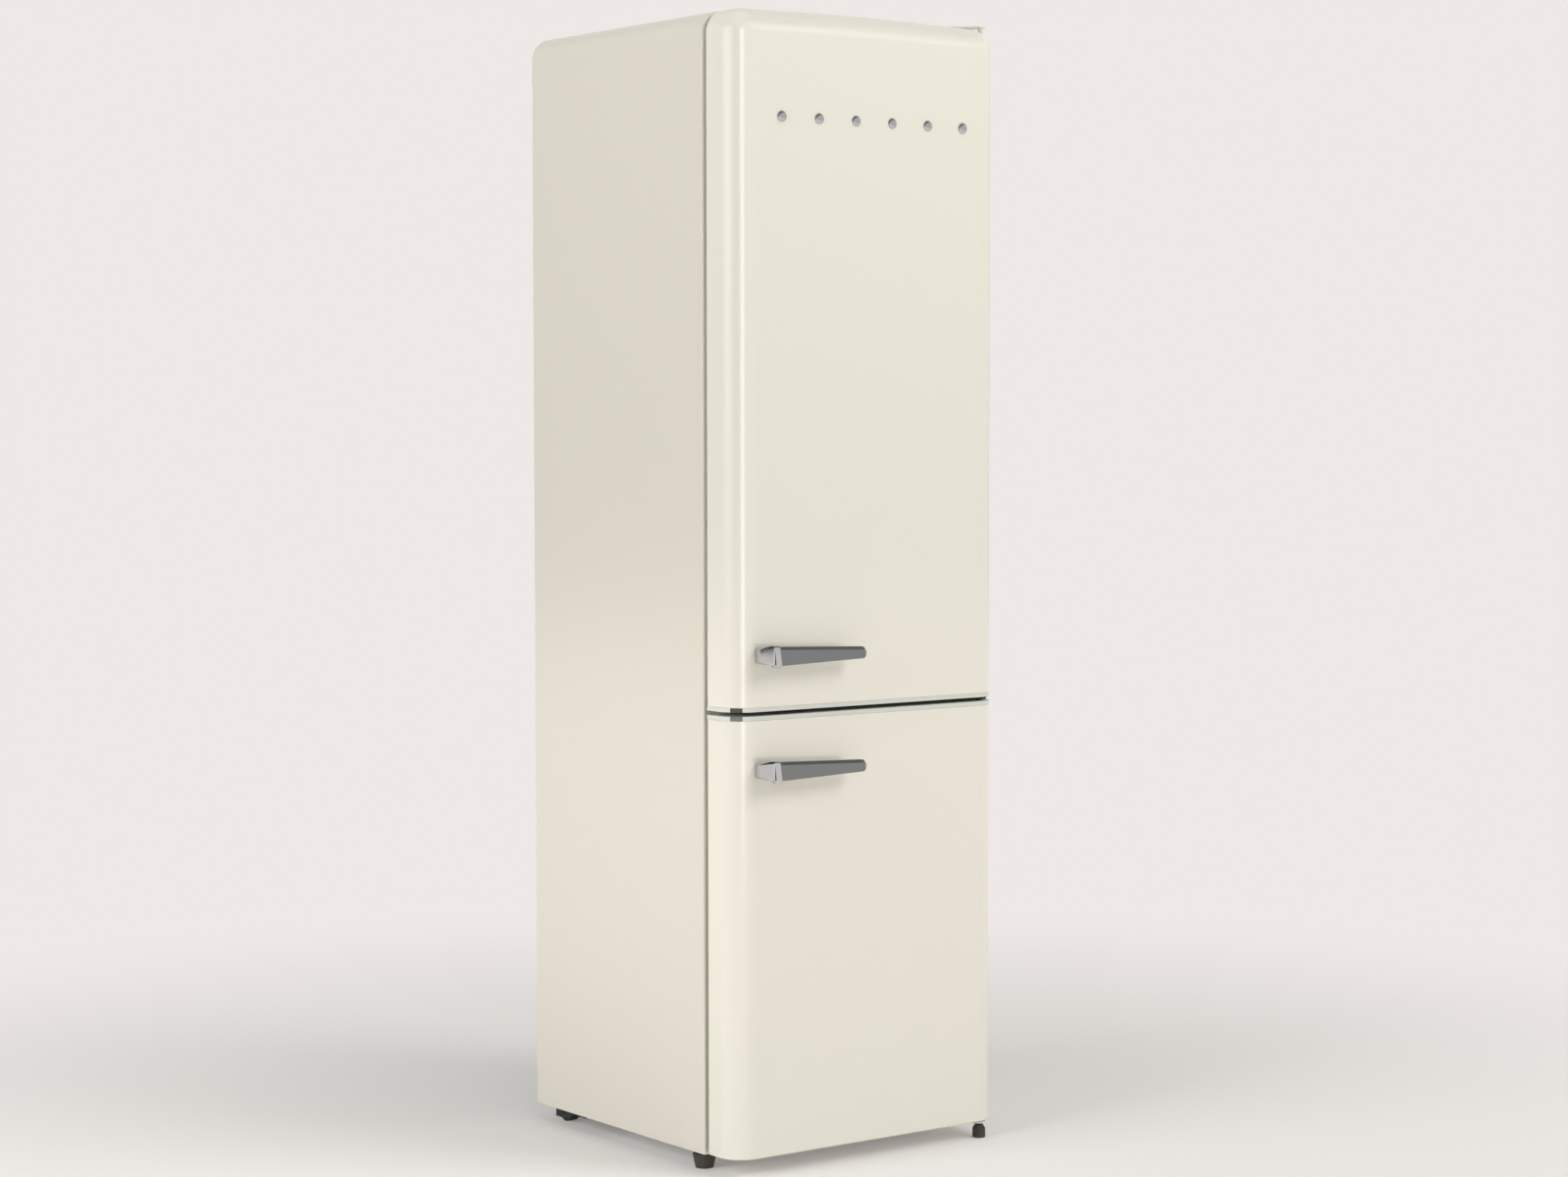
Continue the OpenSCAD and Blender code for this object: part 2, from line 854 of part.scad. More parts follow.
module refrigerant_lines() {
    y = y_rear - 3.5;
    lift = compressor_y;
    color("#B87350") {
        // From the compressor to the condenser's lowest run
        pipe([
            [compressor_x - pot_r, lift, 120],
            [-150, lift, 120],
            [-150, y, 120],
            [-225, y, 190],
            [-225, y, 432],
            [-186, y, 440]
        ], 3);
        // From the condenser's last run through the filter drier
        pipe([
            [186, y, 1560],
            [225, y, 1552],
            [225, y, 232],
            [225, foam_back - 15, 218],
            [225, foam_back - 15, 75],
            [190, foam_back - 15, 75],
            [190, foam_back - 15, niche_z]
        ], 2.4);
        rod([225, foam_back - 15, 205], [225, foam_back - 15, 105], 9);
        // Suction line down to the compressor
        pipe([
            [160, foam_back - 15, niche_z],
            [160, foam_back - 15, 110],
            [160, lift, 110],
            [compressor_x + pot_r, lift, 110]
        ], 4);
    }
}

module cord_inlet() {
    color("#1F1F20") difference() {
        block([-120, foam_back - 32, deck_z + 2], [-84, foam_back - 5, deck_z + 30]);
        rod([-102, foam_back - 18, deck_z + 16], [-102, foam_back, deck_z + 16], 6);
    }
}

// ---- Upper door ----

module upper_door_skin() {
    z0 = upper_z + cap_h;
    color("#EBE8DA") difference() {
        upper_block(0, z0, y_door_back);
        upper_block(skin_t, z0 - 1, y_door_back + 1);
        hinge_hole(roof_z - 60, roof_z + 1);
    }
}

module upper_door_foam() {
    z0 = upper_z + cap_h;
    color("#E8D9A8") difference() {
        union() {
            upper_block(skin_t, z0, y_door_back - door_liner_t);
            upper_plug_shape(door_liner_t, y_door_back - door_liner_t - 1);
        }
        hinge_hole(roof_z - 34, roof_z + 1);
        hinge_hole(z0 - 1, z0 + 14);
    }
}

module upper_door_liner() {
    z0 = upper_z + cap_h;
    color("#F6F6F3") difference() {
        union() {
            intersection() {
                upper_block(skin_t, z0, y_door_back);
                block([-half_w, y_door_back - door_liner_t, 0], [half_w, y_door_back, roof_z]);
            }
            upper_plug_shape(0, y_door_back - 1);
        }
        upper_plug_shape(door_liner_t, y_door_back - door_liner_t - 1);
    }
}

module upper_door_gasket() {
    color("#8C8878") gasket(upper_z + gasket_split_in, roof_z - gasket_in);
}

module upper_door_end_cap() {
    color("#D3D3CB") difference() {
        lower_block(0, upper_z, upper_z + cap_h, y_door_back);
        corner_place(upper_z - 1, upper_z + cap_h + 1);
        hinge_hole(upper_z - 1, upper_z + cap_h + 1);
    }
}

module upper_door_plug() {
    color("#4A4945") intersection() {
        lower_block(0, upper_z, upper_z + cap_h, y_door_back);
        corner_place(upper_z, upper_z + cap_h);
    }
}

module upper_door_bushes() {
    color("#ECECE6") {
        bush(roof_z - 34, roof_z - 12);
        bush(upper_z, upper_z + cap_h + 14);
    }
}

module balcony_top() {
    color("#EAF1F2", 0.7) balcony(balcony_z[2], 70);
}

module balcony_middle() {
    color("#EAF1F2", 0.7) balcony(balcony_z[1], 80);
}

module balcony_bottles() {
    color("#EAF1F2", 0.7) balcony(balcony_z[0], 105);
}

module badge_studs() {
    color("#C9CCCE") for (x = stud_xs) {
        translate([x, y_door, stud_z]) rotate([90, 0, 0]) cylinder(h = 4, r1 = stud_r, r2 = stud_r - 2);
    }
}

module upper_handle_base() {
    color("#9FA1A2") handle_base(handle_zs[0]);
}

module upper_handle_blade() {
    color("#8C8D8D") handle_blade(handle_zs[0]);
}

// ---- Lower door ----

module lower_door_skin() {
    z1 = lower_z - cap_h;
    color("#E7E4D7") difference() {
        lower_block(0, door_bottom, z1, y_door_back);
        lower_block(skin_t, door_bottom + skin_t, z1 + 1, y_door_back + 1);
        hinge_hole(door_bottom - 1, door_bottom + 20);
    }
}

module lower_door_foam() {
    z1 = lower_z - cap_h;
    color("#E8D9A8") difference() {
        union() {
            lower_block(skin_t, door_bottom + skin_t, z1, y_door_back - door_liner_t);
            lower_plug_shape(door_liner_t, y_door_back - door_liner_t - 1);
        }
        hinge_hole(door_bottom, door_bottom + 20);
        hinge_hole(z1 - 14, z1 + 1);
    }
}

module lower_door_liner() {
    z1 = lower_z - cap_h;
    color("#F6F6F3") difference() {
        union() {
            block([-in_w, y_door_back - door_liner_t, door_bottom + skin_t], [in_w, y_door_back, z1]);
            lower_plug_shape(0, y_door_back - 1);
        }
        lower_plug_shape(door_liner_t, y_door_back - door_liner_t - 1);
    }
}

module lower_door_gasket() {
    color("#8C8878") gasket(door_bottom + gasket_in - 1, lower_z - gasket_split_in);
}

module lower_door_end_cap() {
    color("#CDCDCA") difference() {
        lower_block(0, lower_z - cap_h, lower_z, y_door_back);
        corner_place(lower_z - cap_h - 1, lower_z + 1);
        hinge_hole(lower_z - cap_h - 1, lower_z + 1);
    }
}

module lower_door_plug() {
    color("#727270") intersection() {
        lower_block(0, lower_z - cap_h, lower_z, y_door_back);
        corner_place(lower_z - cap_h, lower_z);
    }
}

module lower_door_bushes() {
    color("#ECECE6") {
        bush(door_bottom, door_bottom + 20);
        bush(lower_z - cap_h - 14, lower_z);
    }
}

module lower_handle_base() {
    color("#9FA1A2") handle_base(handle_zs[1]);
}

module lower_handle_blade() {
    color("#8C8D8D") handle_blade(handle_zs[1]);
}

// ---- Pieces that slide or turn ----

module crisper_drawer() {
    color("#DDE9E6", 0.7)
        drawer(crisper_hw, crisper_front, shelf_back - 6, fridge_floor + 5, shelf_z[0] - 10);
}

module freezer_drawer_top() {
    color("#DCE7EC", 0.7) drawer(
        freezer_drawer_hw, freezer_drawer_front, freezer_back - 15, plate_z[1] + 8, freezer_top - 12
    );
}

module freezer_drawer_middle() {
    color("#DCE7EC", 0.7) drawer(
        freezer_drawer_hw, freezer_drawer_front, freezer_back - 15, plate_z[0] + 8, plate_z[1] - 12
    );
}

module freezer_drawer_bottom() {
    color("#DCE7EC", 0.7) drawer(
        freezer_drawer_hw, freezer_drawer_front, step_y - 6, freezer_floor + rib_h + 0.5, step_z - 6
    );
}

module thermostat_knob() {
    color("#E6E6E0") translate([knob_x, knob_y, 0]) {
        translate([0, 0, housing_z - 14]) cylinder(h = 13.5, r = 17);
        translate([-2.5, -17, housing_z - 17]) cube([5, 34, 3]);
        translate([0, 0, housing_z - 1]) cylinder(h = 16, r = 4);
    }
}

module switch_plunger() {
    tip = y_door_back + ridge_d + 0.5;
    color("#F0F0EC") {
        rod([plunger_x, tip, plunger_z], [plunger_x, tip + 24, plunger_z], 4);
        rod(
            [plunger_x, housing_front + housing_t + 0.3, plunger_z],
            [plunger_x, housing_front + housing_t + 2.5, plunger_z],
            6.5
        );
    }
}

module foot_left() {
    color("#6E6862") translate([foot_left_x, foot_left_y, 0]) {
        cylinder(h = floor_gap - 4, r1 = 15, r2 = 19.5);
        cylinder(h = floor_gap + 18, r = stem_r);
    }
}

module foot_right() {
    color("#6E6862") translate([foot_right_x, foot_right_y, 0]) {
        cylinder(h = 16, r = 11);
        translate([0, 0, 16]) cylinder(h = 8, r1 = 11, r2 = 6);
        cylinder(h = floor_gap, r = stem_r);
    }
}

module roller(side) {
    color("#2E2E30") difference() {
        rod(
            [side * roller_x - roller_w / 2, roller_y, roller_r],
            [side * roller_x + roller_w / 2, roller_y, roller_r],
            roller_r
        );
        rod(
            [side * roller_x - roller_w, roller_y, roller_r],
            [side * roller_x + roller_w, roller_y, roller_r],
            axle_r + run_gap
        );
    }
}

module roller_left() {
    roller(-1);
}

module roller_right() {
    roller(1);
}

cabinet_shell();
back_panel();
base_plate();
mid_rail();
fridge_liner();
freezer_liner();
foam_insulation();
top_hinge();
top_hinge_cover();
middle_hinge();
bottom_hinge();
cabinet_screws();
fridge_cold_plate();
freezer_plate_shelves();
glass_shelves();
shelf_trims();
thermostat_housing();
lamp_bulb();
condenser();
compressor();
compressor_mounts();
compressor_rail();
relay_box();
drip_tray();
drain_tube();
refrigerant_lines();
cord_inlet();
upper_door_skin();
upper_door_foam();
upper_door_liner();
upper_door_gasket();
upper_door_end_cap();
upper_door_plug();
upper_door_bushes();
balcony_top();
balcony_middle();
balcony_bottles();
badge_studs();
upper_handle_base();
upper_handle_blade();
lower_door_skin();
lower_door_foam();
lower_door_liner();
lower_door_gasket();
lower_door_end_cap();
lower_door_plug();
lower_door_bushes();
lower_handle_base();
lower_handle_blade();
crisper_drawer();
freezer_drawer_top();
freezer_drawer_middle();
freezer_drawer_bottom();
thermostat_knob();
switch_plunger();
foot_left();
foot_right();
roller_left();
roller_right();
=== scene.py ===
import json
import math
import bmesh
import bpy
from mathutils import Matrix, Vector

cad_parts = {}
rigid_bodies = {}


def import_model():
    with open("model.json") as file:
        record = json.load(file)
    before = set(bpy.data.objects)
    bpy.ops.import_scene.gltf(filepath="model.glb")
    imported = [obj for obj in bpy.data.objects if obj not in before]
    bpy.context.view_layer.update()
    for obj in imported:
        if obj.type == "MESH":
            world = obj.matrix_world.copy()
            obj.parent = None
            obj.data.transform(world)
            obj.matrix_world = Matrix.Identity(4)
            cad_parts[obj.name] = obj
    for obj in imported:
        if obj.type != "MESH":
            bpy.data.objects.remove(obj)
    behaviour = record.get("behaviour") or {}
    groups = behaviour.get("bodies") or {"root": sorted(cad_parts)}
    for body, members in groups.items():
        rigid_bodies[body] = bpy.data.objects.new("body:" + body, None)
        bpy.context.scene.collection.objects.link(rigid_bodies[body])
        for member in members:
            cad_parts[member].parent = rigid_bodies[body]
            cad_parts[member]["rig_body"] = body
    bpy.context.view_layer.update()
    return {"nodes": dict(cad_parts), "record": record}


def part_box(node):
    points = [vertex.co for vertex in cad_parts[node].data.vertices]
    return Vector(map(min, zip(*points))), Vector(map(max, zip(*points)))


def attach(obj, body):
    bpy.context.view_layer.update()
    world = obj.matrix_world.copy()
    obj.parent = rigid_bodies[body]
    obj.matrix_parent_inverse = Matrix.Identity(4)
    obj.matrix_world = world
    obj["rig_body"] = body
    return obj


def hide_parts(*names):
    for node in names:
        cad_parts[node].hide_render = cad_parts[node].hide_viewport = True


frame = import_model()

MM = 0.001
NODES = frame["nodes"]
SLOTS = {part["node"]: part["material_slot"] for part in frame["record"]["subparts"]}


# ---- Sizes from the frame, in millimetres ----


def box_mm(node):
    low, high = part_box(node)
    return low / MM, high / MM


SHELL_LOW, SHELL_HIGH = box_mm("cabinet_shell")
UPPER_LOW, UPPER_HIGH = box_mm("upper_door_skin")
LOWER_LOW, LOWER_HIGH = box_mm("lower_door_skin")

HALF_W = SHELL_HIGH.x
ROOF_Z = SHELL_HIGH.z
ROOF_R = 39
Y_CAB = SHELL_LOW.y
Y_CAB_BACK = SHELL_HIGH.y
Y_DOOR = UPPER_LOW.y
Y_DOOR_BACK = UPPER_HIGH.y
DOOR_R = 43
FACE_W = 36
SKIN_T = 0.9


# ---- Mesh building ----


def link(obj):
    bpy.context.scene.collection.objects.link(obj)
    return obj


def mesh_object(name, points, faces):
    mesh = bpy.data.meshes.new(name)
    mesh.from_pydata([Vector(p) * MM for p in points], [], faces)
    build = bmesh.new()
    build.from_mesh(mesh)
    bmesh.ops.remove_doubles(build, verts=build.verts, dist=2e-6)
    bmesh.ops.dissolve_degenerate(build, edges=build.edges, dist=1e-6)
    bmesh.ops.recalc_face_normals(build, faces=build.faces)
    build.to_mesh(mesh)
    build.free()
    return link(bpy.data.objects.new(name, mesh))


def joined(name, objs):
    """One object holding all the given ones."""
    build = bmesh.new()
    for obj in objs:
        build.from_mesh(obj.data)
        bpy.data.objects.remove(obj)
    mesh = bpy.data.meshes.new(name)
    build.to_mesh(mesh)
    build.free()
    return link(bpy.data.objects.new(name, mesh))


def loft(name, rings, closed=True, wrap=False, cap_first=False, cap_last=False, skip=None, rear=()):
    """A surface through rings of points. skip(point) leaves out the faces centred there.

    rear holds further points that close the last cap behind its ring.
    """
    points = [Vector(p) for ring in rings for p in ring] + [Vector(p) for p in rear]
    count = len(rings[0])
    rows = len(rings)
    faces = []
    for row in range(rows if wrap else rows - 1):
        for col in range(count if closed else count - 1):
            here = row * count
            above = ((row + 1) % rows) * count
            right = (col + 1) % count
            face = (here + col, here + right, above + right, above + col)
            if skip:
                middle = sum((points[i] for i in face), Vector()) / 4
                if skip(middle):
                    continue
            faces.append(face)
    if cap_first:
        faces.append(tuple(reversed(range(count))))
    if cap_last:
        faces.append(tuple(range((rows - 1) * count, len(points))))
    return mesh_object(name, points, faces)


def arc(cx, cy, r, start, end, steps):
    """Points on an arc in a plane, angles in degrees."""
    found = []
    for i in range(steps + 1):
        a = math.radians(start + (end - start) * i / steps)
        found.append((cx + r * math.cos(a), cy + r * math.sin(a)))
    return found


def between(a, b, steps):
    """Points from a towards b, without b."""
    return [
        (a[0] + (b[0] - a[0]) * i / steps, a[1] + (b[1] - a[1]) * i / steps)
        for i in range(steps)
    ]


def round_rect(x0, y0, x1, y1, radii, steps=5):
    """A closed outline with its own radius at each corner, from lower left, anticlockwise."""
    corners = [
        (x0, y0, 1, 1, 180),
        (x1, y0, -1, 1, 270),
        (x1, y1, -1, -1, 0),
        (x0, y1, 1, -1, 90),
    ]
    found = []
    for (x, y, sx, sy, start), r in zip(corners, radii):
        r = max(r, 0.05)
        found += arc(x + sx * r, y + sy * r, r, start, start + 90, steps)
    return found


def roof_crown(x):
    """How far the roof bows up at a distance from its middle."""
    return 3.2 * max(0.0, 1 - (x / 215) ** 2) ** 1.5


def arch_outline(inset, z0, steps=14):
    """Front view of the cabinet, from the lower left over the roof to the lower right."""
    hw = HALF_W - inset
    r = ROOF_R - inset
    top = ROOF_Z - inset
    found = [(-hw, z0)]
    found += arc(-hw + r, top - r, r, 180, 90, steps)
    flat = between((-hw + r, top), (hw - r, top), 18)[1:]
    lift = max(0.0, 1 - inset / FACE_W)
    found += [(x, z + roof_crown(x) * lift) for x, z in flat]
    found += arc(hw - r, top - r, r, 90, 0, steps)
    found.append((hw, z0))
    return found


def lathe(name, profile, base, axis="Z", sides=48, shape=None):
    """A turned piece. profile holds (radius, height) pairs, base is the axis' foot."""
    rings = []
    for r, h in profile:
        ring = []
        for i in range(sides):
            a = 2 * math.pi * i / sides
            grown = r * (shape(a, h) if shape else 1)
            u = grown * math.cos(a)
            v = grown * math.sin(a)
            spot = {"Z": (u, v, h), "X": (h, u, v), "Y": (u, h, v)}[axis]
            ring.append(Vector(base) + Vector(spot))
        rings.append(ring)
    return loft(name, rings, cap_first=True, cap_last=True)


def filleted(points, radius, steps=6):
    """A route with its corners rounded."""
    points = [Vector(p) for p in points]
    found = [points[0]]
    for before, here, after in zip(points, points[1:], points[2:]):
        into = (before - here).normalized()
        out = (after - here).normalized()
        reach = min(radius, (before - here).length * 0.45, (after - here).length * 0.45)
        for i in range(steps + 1):
            t = i / steps
            a = here + into * reach * (1 - t) ** 2
            found.append(a + out * reach * t**2)
    found.append(points[-1])
    return found


def tube(name, route, r, sides=10):
    """A round tube along a route, kept from twisting."""
    route = [Vector(p) for p in route]
    normal = None
    rings = []
    for i, here in enumerate(route):
        ahead = route[min(i + 1, len(route) - 1)] - route[max(i - 1, 0)]
        ahead.normalize()
        if normal is None:
            normal = ahead.orthogonal()
        normal = (normal - ahead * normal.dot(ahead)).normalized()
        side = ahead.cross(normal)
        ring = []
        for k in range(sides):
            a = 2 * math.pi * k / sides
            ring.append(here + normal * r * math.cos(a) + side * r * math.sin(a))
        rings.append(ring)
    return loft(name, rings, cap_first=True, cap_last=True)


def slab(name, low, high, edge=1.0, steps=2):
    """A block with rounded edges."""
    low = Vector(low)
    high = Vector(high)
    obj = loft(
        name,
        [
            [(low.x, low.y, z), (high.x, low.y, z), (high.x, high.y, z), (low.x, high.y, z)]
            for z in (low.z, high.z)
        ],
        cap_first=True,
        cap_last=True,
    )
    return rounded(obj, edge, steps)


def applied(obj):
    """Turns the object's modifiers into its mesh."""
    graph = bpy.context.evaluated_depsgraph_get()
    mesh = bpy.data.meshes.new_from_object(obj.evaluated_get(graph))
    obj.modifiers.clear()
    obj.data = mesh
    return obj


def rounded(obj, width, steps=2, limit=30):
    bevel = obj.modifiers.new("bevel", "BEVEL")
    bevel.width = width * MM
    bevel.segments = steps
    bevel.limit_method = "ANGLE"
    bevel.angle_limit = math.radians(limit)
    bevel.use_clamp_overlap = True
    return applied(obj)


def thickened(obj, depth):
    """Gives a sheet its thickness, behind its face."""
    solid = obj.modifiers.new("solid", "SOLIDIFY")
    solid.thickness = depth * MM
    solid.offset = -1
    solid.use_even_offset = True
    return applied(obj)


def smoothed(obj, angle=35):
    obj.data.shade_smooth()
    obj.data.set_sharp_from_angle(angle=math.radians(angle))
    weigh = obj.modifiers.new("weigh", "WEIGHTED_NORMAL")
    weigh.keep_sharp = True
    return obj


def piece(obj, nodes, angle=35, slot=None):
    """Hands a finished piece over: it stands for the nodes and rides on their body."""
    smoothed(obj, angle)
    names = [nodes] if isinstance(nodes, str) else nodes
    slot = slot or SLOTS[names[0]]
    obj.data.materials.clear()
    obj.data.materials.append(finish_of(slot))
    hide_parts(*names)
    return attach(obj, NODES[names[0]]["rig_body"])


def extra(obj, node, slot, angle=35):
    """A further piece of a node that another piece already stands for."""
    smoothed(obj, angle)
    obj.data.materials.clear()
    obj.data.materials.append(finish_of(slot))
    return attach(obj, NODES[node]["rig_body"])


def refined(node, width=0.6, steps=2, limit=30, angle=35):
    """The CAD node's own shape, with its sharp edges softened."""
    build = bmesh.new()
    build.from_mesh(NODES[node].data)
    bmesh.ops.remove_doubles(build, verts=build.verts, dist=2e-6)
    bmesh.ops.dissolve_limit(
        build, angle_limit=math.radians(0.4), verts=build.verts, edges=build.edges
    )
    mesh = bpy.data.meshes.new(node + "_soft")
    build.to_mesh(mesh)
    build.free()
    obj = link(bpy.data.objects.new(node + "_soft", mesh))
    return piece(rounded(obj, width, steps, limit), node, angle)


# ---- Materials ----

ENAMEL = {"rough": 0.26, "coat": 0.5, "grain": (420, 0.06), "vary": 0.012, "uneven": 0.05}
CLEAR = {"rough": 0.08, "clear": 1.0, "grain": (60, 0.03), "vary": 0.01, "uneven": 0.05}
PLASTIC = {"rough": 0.38, "grain": (900, 0.12), "vary": 0.02, "uneven": 0.08}
BLACK = {"rough": 0.45, "grain": (700, 0.3), "vary": 0.12, "uneven": 0.1}

FINISHES = {
    "cream_enamel_cabinet": dict(ENAMEL, colour=(0.798, 0.789, 0.688)),
    "cream_enamel_doors": dict(ENAMEL, colour=(0.805, 0.797, 0.738)),
    "galvanised_steel": {
        "colour": (0.46, 0.47, 0.47),
        "metal": 1.0,
        "rough": 0.42,
        "grain": (80, 0.05),
        "vary": 0.12,
        "uneven": 0.12,
        "spangle": 90,
    },
    "white_liner": dict(PLASTIC, colour=(0.80, 0.81, 0.80), rough=0.3),
    "foam": {"colour": (0.66, 0.57, 0.36), "rough": 0.9, "grain": (500, 0.6), "vary": 0.1},
    "black_hinge_steel": dict(BLACK, colour=(0.016, 0.016, 0.018), metal=0.4),
    "cream_plastic": dict(PLASTIC, colour=(0.70, 0.67, 0.58)),
    "zinc_screws": {"colour": (0.52, 0.53, 0.55), "metal": 1.0, "rough": 0.32, "grain": (600, 0.1)},
    "cold_plate_aluminium": {
        "colour": (0.72, 0.74, 0.76),
        "metal": 0.85,
        "rough": 0.4,
        "grain": (300, 0.12),
        "vary": 0.04,
        "uneven": 0.1,
    },
    "evaporator_coil": dict(PLASTIC, colour=(0.68, 0.71, 0.73), metal=0.3),
    "shelf_glass": dict(CLEAR, colour=(0.90, 0.97, 0.95), rough=0.03),
    "white_trim": dict(PLASTIC, colour=(0.83, 0.83, 0.82)),
    "lamp_glass": {"colour": (0.95, 0.92, 0.84), "rough": 0.22, "clear": 0.35, "grain": (300, 0.05)},
    "condenser_black": dict(BLACK, colour=(0.012, 0.012, 0.013), rough=0.5),
    "compressor_black": dict(BLACK, colour=(0.011, 0.011, 0.012), rough=0.36),
    "mount_rubber": dict(BLACK, colour=(0.018, 0.018, 0.018), rough=0.75),
    "black_plastic": dict(BLACK, colour=(0.022, 0.022, 0.023), rough=0.5),
    "grey_plastic": dict(PLASTIC, colour=(0.62, 0.62, 0.60)),
    "copper": {
        "colour": (0.62, 0.29, 0.16),
        "metal": 1.0,
        "rough": 0.34,
        "grain": (200, 0.08),
        "vary": 0.25,
        "uneven": 0.15,
    },
    "gasket_rubber": dict(PLASTIC, colour=(0.90, 0.85, 0.71), rough=0.6),
    "end_cap_grey": dict(PLASTIC, colour=(0.88, 0.90, 0.95), rough=0.16, coat=0.5),
    # plug_dark is the plugs' grey plastic darkened into painted shade, for the upper plug that sits in the
    # gap's shadow; plug_grey is the same plastic as it looks lit from above.
    "plug_dark": dict(BLACK, colour=(0.055, 0.052, 0.048), rough=0.5),
    "plug_grey": dict(BLACK, colour=(0.17, 0.17, 0.165), rough=0.5),
    "bush_nylon": dict(PLASTIC, colour=(0.78, 0.78, 0.74)),
    "clear_plastic": dict(CLEAR, colour=(0.93, 0.965, 0.975), rough=0.12),
    "chrome_trim": {
        "colour": (0.80, 0.81, 0.82),
        "metal": 1.0,
        "rough": 0.07,
        "grain": (90, 0.01),
        "vary": 0.01,
        "uneven": 0.05,
    },
    "satin_blade": {
        "colour": (0.34, 0.345, 0.352),
        "metal": 1.0,
        "rough": 0.38,
        "grain": (500, 0.08),
        "vary": 0.05,
        "uneven": 0.1,
        "stretch": (0.03, 1.0, 1.0),
    },
    "foot_plastic": dict(BLACK, colour=(0.27, 0.24, 0.225), rough=0.6),
    "roller_plastic": dict(BLACK, colour=(0.03, 0.03, 0.031), rough=0.5),
}


def new_node(tree, kind, **values):
    node = tree.nodes.new(kind)
    for key, value in values.items():
        if hasattr(node, key):
            setattr(node, key, value)
        else:
            node.inputs[key.replace("_", " ")].default_value = value
    return node


def noise_at(tree, place, scale, detail=3.0):
    noise = new_node(tree, "ShaderNodeTexNoise")
    noise.inputs["Scale"].default_value = scale
    noise.inputs["Detail"].default_value = detail
    tree.links.new(place, noise.inputs["Vector"])
    return noise.outputs["Fac"]


def spread(tree, source, low, high):
    """Maps a 0..1 noise onto low..high."""
    span = new_node(tree, "ShaderNodeMapRange")
    span.inputs["From Min"].default_value = 0.3
    span.inputs["From Max"].default_value = 0.7
    span.inputs["To Min"].default_value = low
    span.inputs["To Max"].default_value = high
    tree.links.new(source, span.inputs["Value"])
    return span.outputs["Result"]


def toned(tree, source, colour, vary):
    """A colour that wanders a little darker and lighter with the noise."""
    ramp = new_node(tree, "ShaderNodeValToRGB")
    ramp.color_ramp.elements[0].position = 0.3
    ramp.color_ramp.elements[1].position = 0.7
    for element, factor in zip(ramp.color_ramp.elements, (1 - vary, 1 + vary)):
        element.color = [min(1.0, c * factor) for c in colour] + [1.0]
    tree.links.new(source, ramp.inputs["Fac"])
    return ramp.outputs["Color"]


def finish_of(slot):
    """The procedural material of one of the record's slots."""
    if slot in bpy.data.materials:
        return bpy.data.materials[slot]
    spec = FINISHES[slot]
    mat = bpy.data.materials.new(slot)
    mat.use_nodes = True
    tree = mat.node_tree
    shader = tree.nodes["Principled BSDF"]
    coords = new_node(tree, "ShaderNodeTexCoord")
    scale = new_node(tree, "ShaderNodeMapping")
    scale.inputs["Scale"].default_value = spec.get("stretch", (1.0, 1.0, 1.0))
    tree.links.new(coords.outputs["Object"], scale.inputs["Vector"])
    place = scale.outputs["Vector"]

    broad = noise_at(tree, place, 6.0, 2.0)
    if "spangle" in spec:
        cells = new_node(tree, "ShaderNodeTexVoronoi")
        cells.inputs["Scale"].default_value = spec["spangle"]
        tree.links.new(place, cells.inputs["Vector"])
        broad = cells.outputs["Color"]
    tree.links.new(toned(tree, broad, spec["colour"], spec.get("vary", 0.04)), shader.inputs["Base Color"])

    rough = spec["rough"]
    uneven = rough * spec.get("uneven", 0.1) * 2
    worn = spread(tree, noise_at(tree, place, 45.0), max(0.0, rough - uneven), min(1.0, rough + uneven))
    tree.links.new(worn, shader.inputs["Roughness"])

    size, depth = spec["grain"]
    bump = new_node(tree, "ShaderNodeBump")
    bump.inputs["Strength"].default_value = depth
    bump.inputs["Distance"].default_value = 0.0004
    tree.links.new(noise_at(tree, place, size, 2.0), bump.inputs["Height"])
    tree.links.new(bump.outputs["Normal"], shader.inputs["Normal"])

    shader.inputs["Metallic"].default_value = spec.get("metal", 0.0)
    shader.inputs["Coat Weight"].default_value = spec.get("coat", 0.0)
    shader.inputs["Coat Roughness"].default_value = 0.06
    shader.inputs["Transmission Weight"].default_value = spec.get("clear", 0.0)
    shader.inputs["IOR"].default_value = 1.49
    return mat


# ---- Cabinet ----


def cabinet_shell():
    back = Y_CAB_BACK
    front = Y_CAB
    fold = 3.8
    path = [(FACE_W, front)]
    path += [(fold + x, front + fold + y) for x, y in arc(0, 0, fold, 270, 180, 5)]
    path += [(0, back - 1.5), (0.44, back - 0.44), (1.5, back), (14, back)]
    rings = [[(x, y, z) for x, z in arch_outline(inset, SHELL_LOW.z)] for inset, y in path]
    piece(thickened(loft("cabinet_wrap", rings, closed=False), SKIN_T), "cabinet_shell")


def back_panel():
    """A sheet with a turned rim and a shallow pressed field."""
    low, high = box_mm("back_panel")
    edge = HALF_W - high.x
    field_y = (low.y + high.y) / 2
    path = [(edge, low.y), (edge, high.y), (26, high.y), (27, high.y - 0.1), (29, field_y), (30, field_y)]
    rings = [[(x, y, z) for x, z in arch_outline(inset, low.z + inset - edge)] for inset, y in path]
    piece(loft("rear_panel", rings, cap_last=True), "back_panel", angle=25)


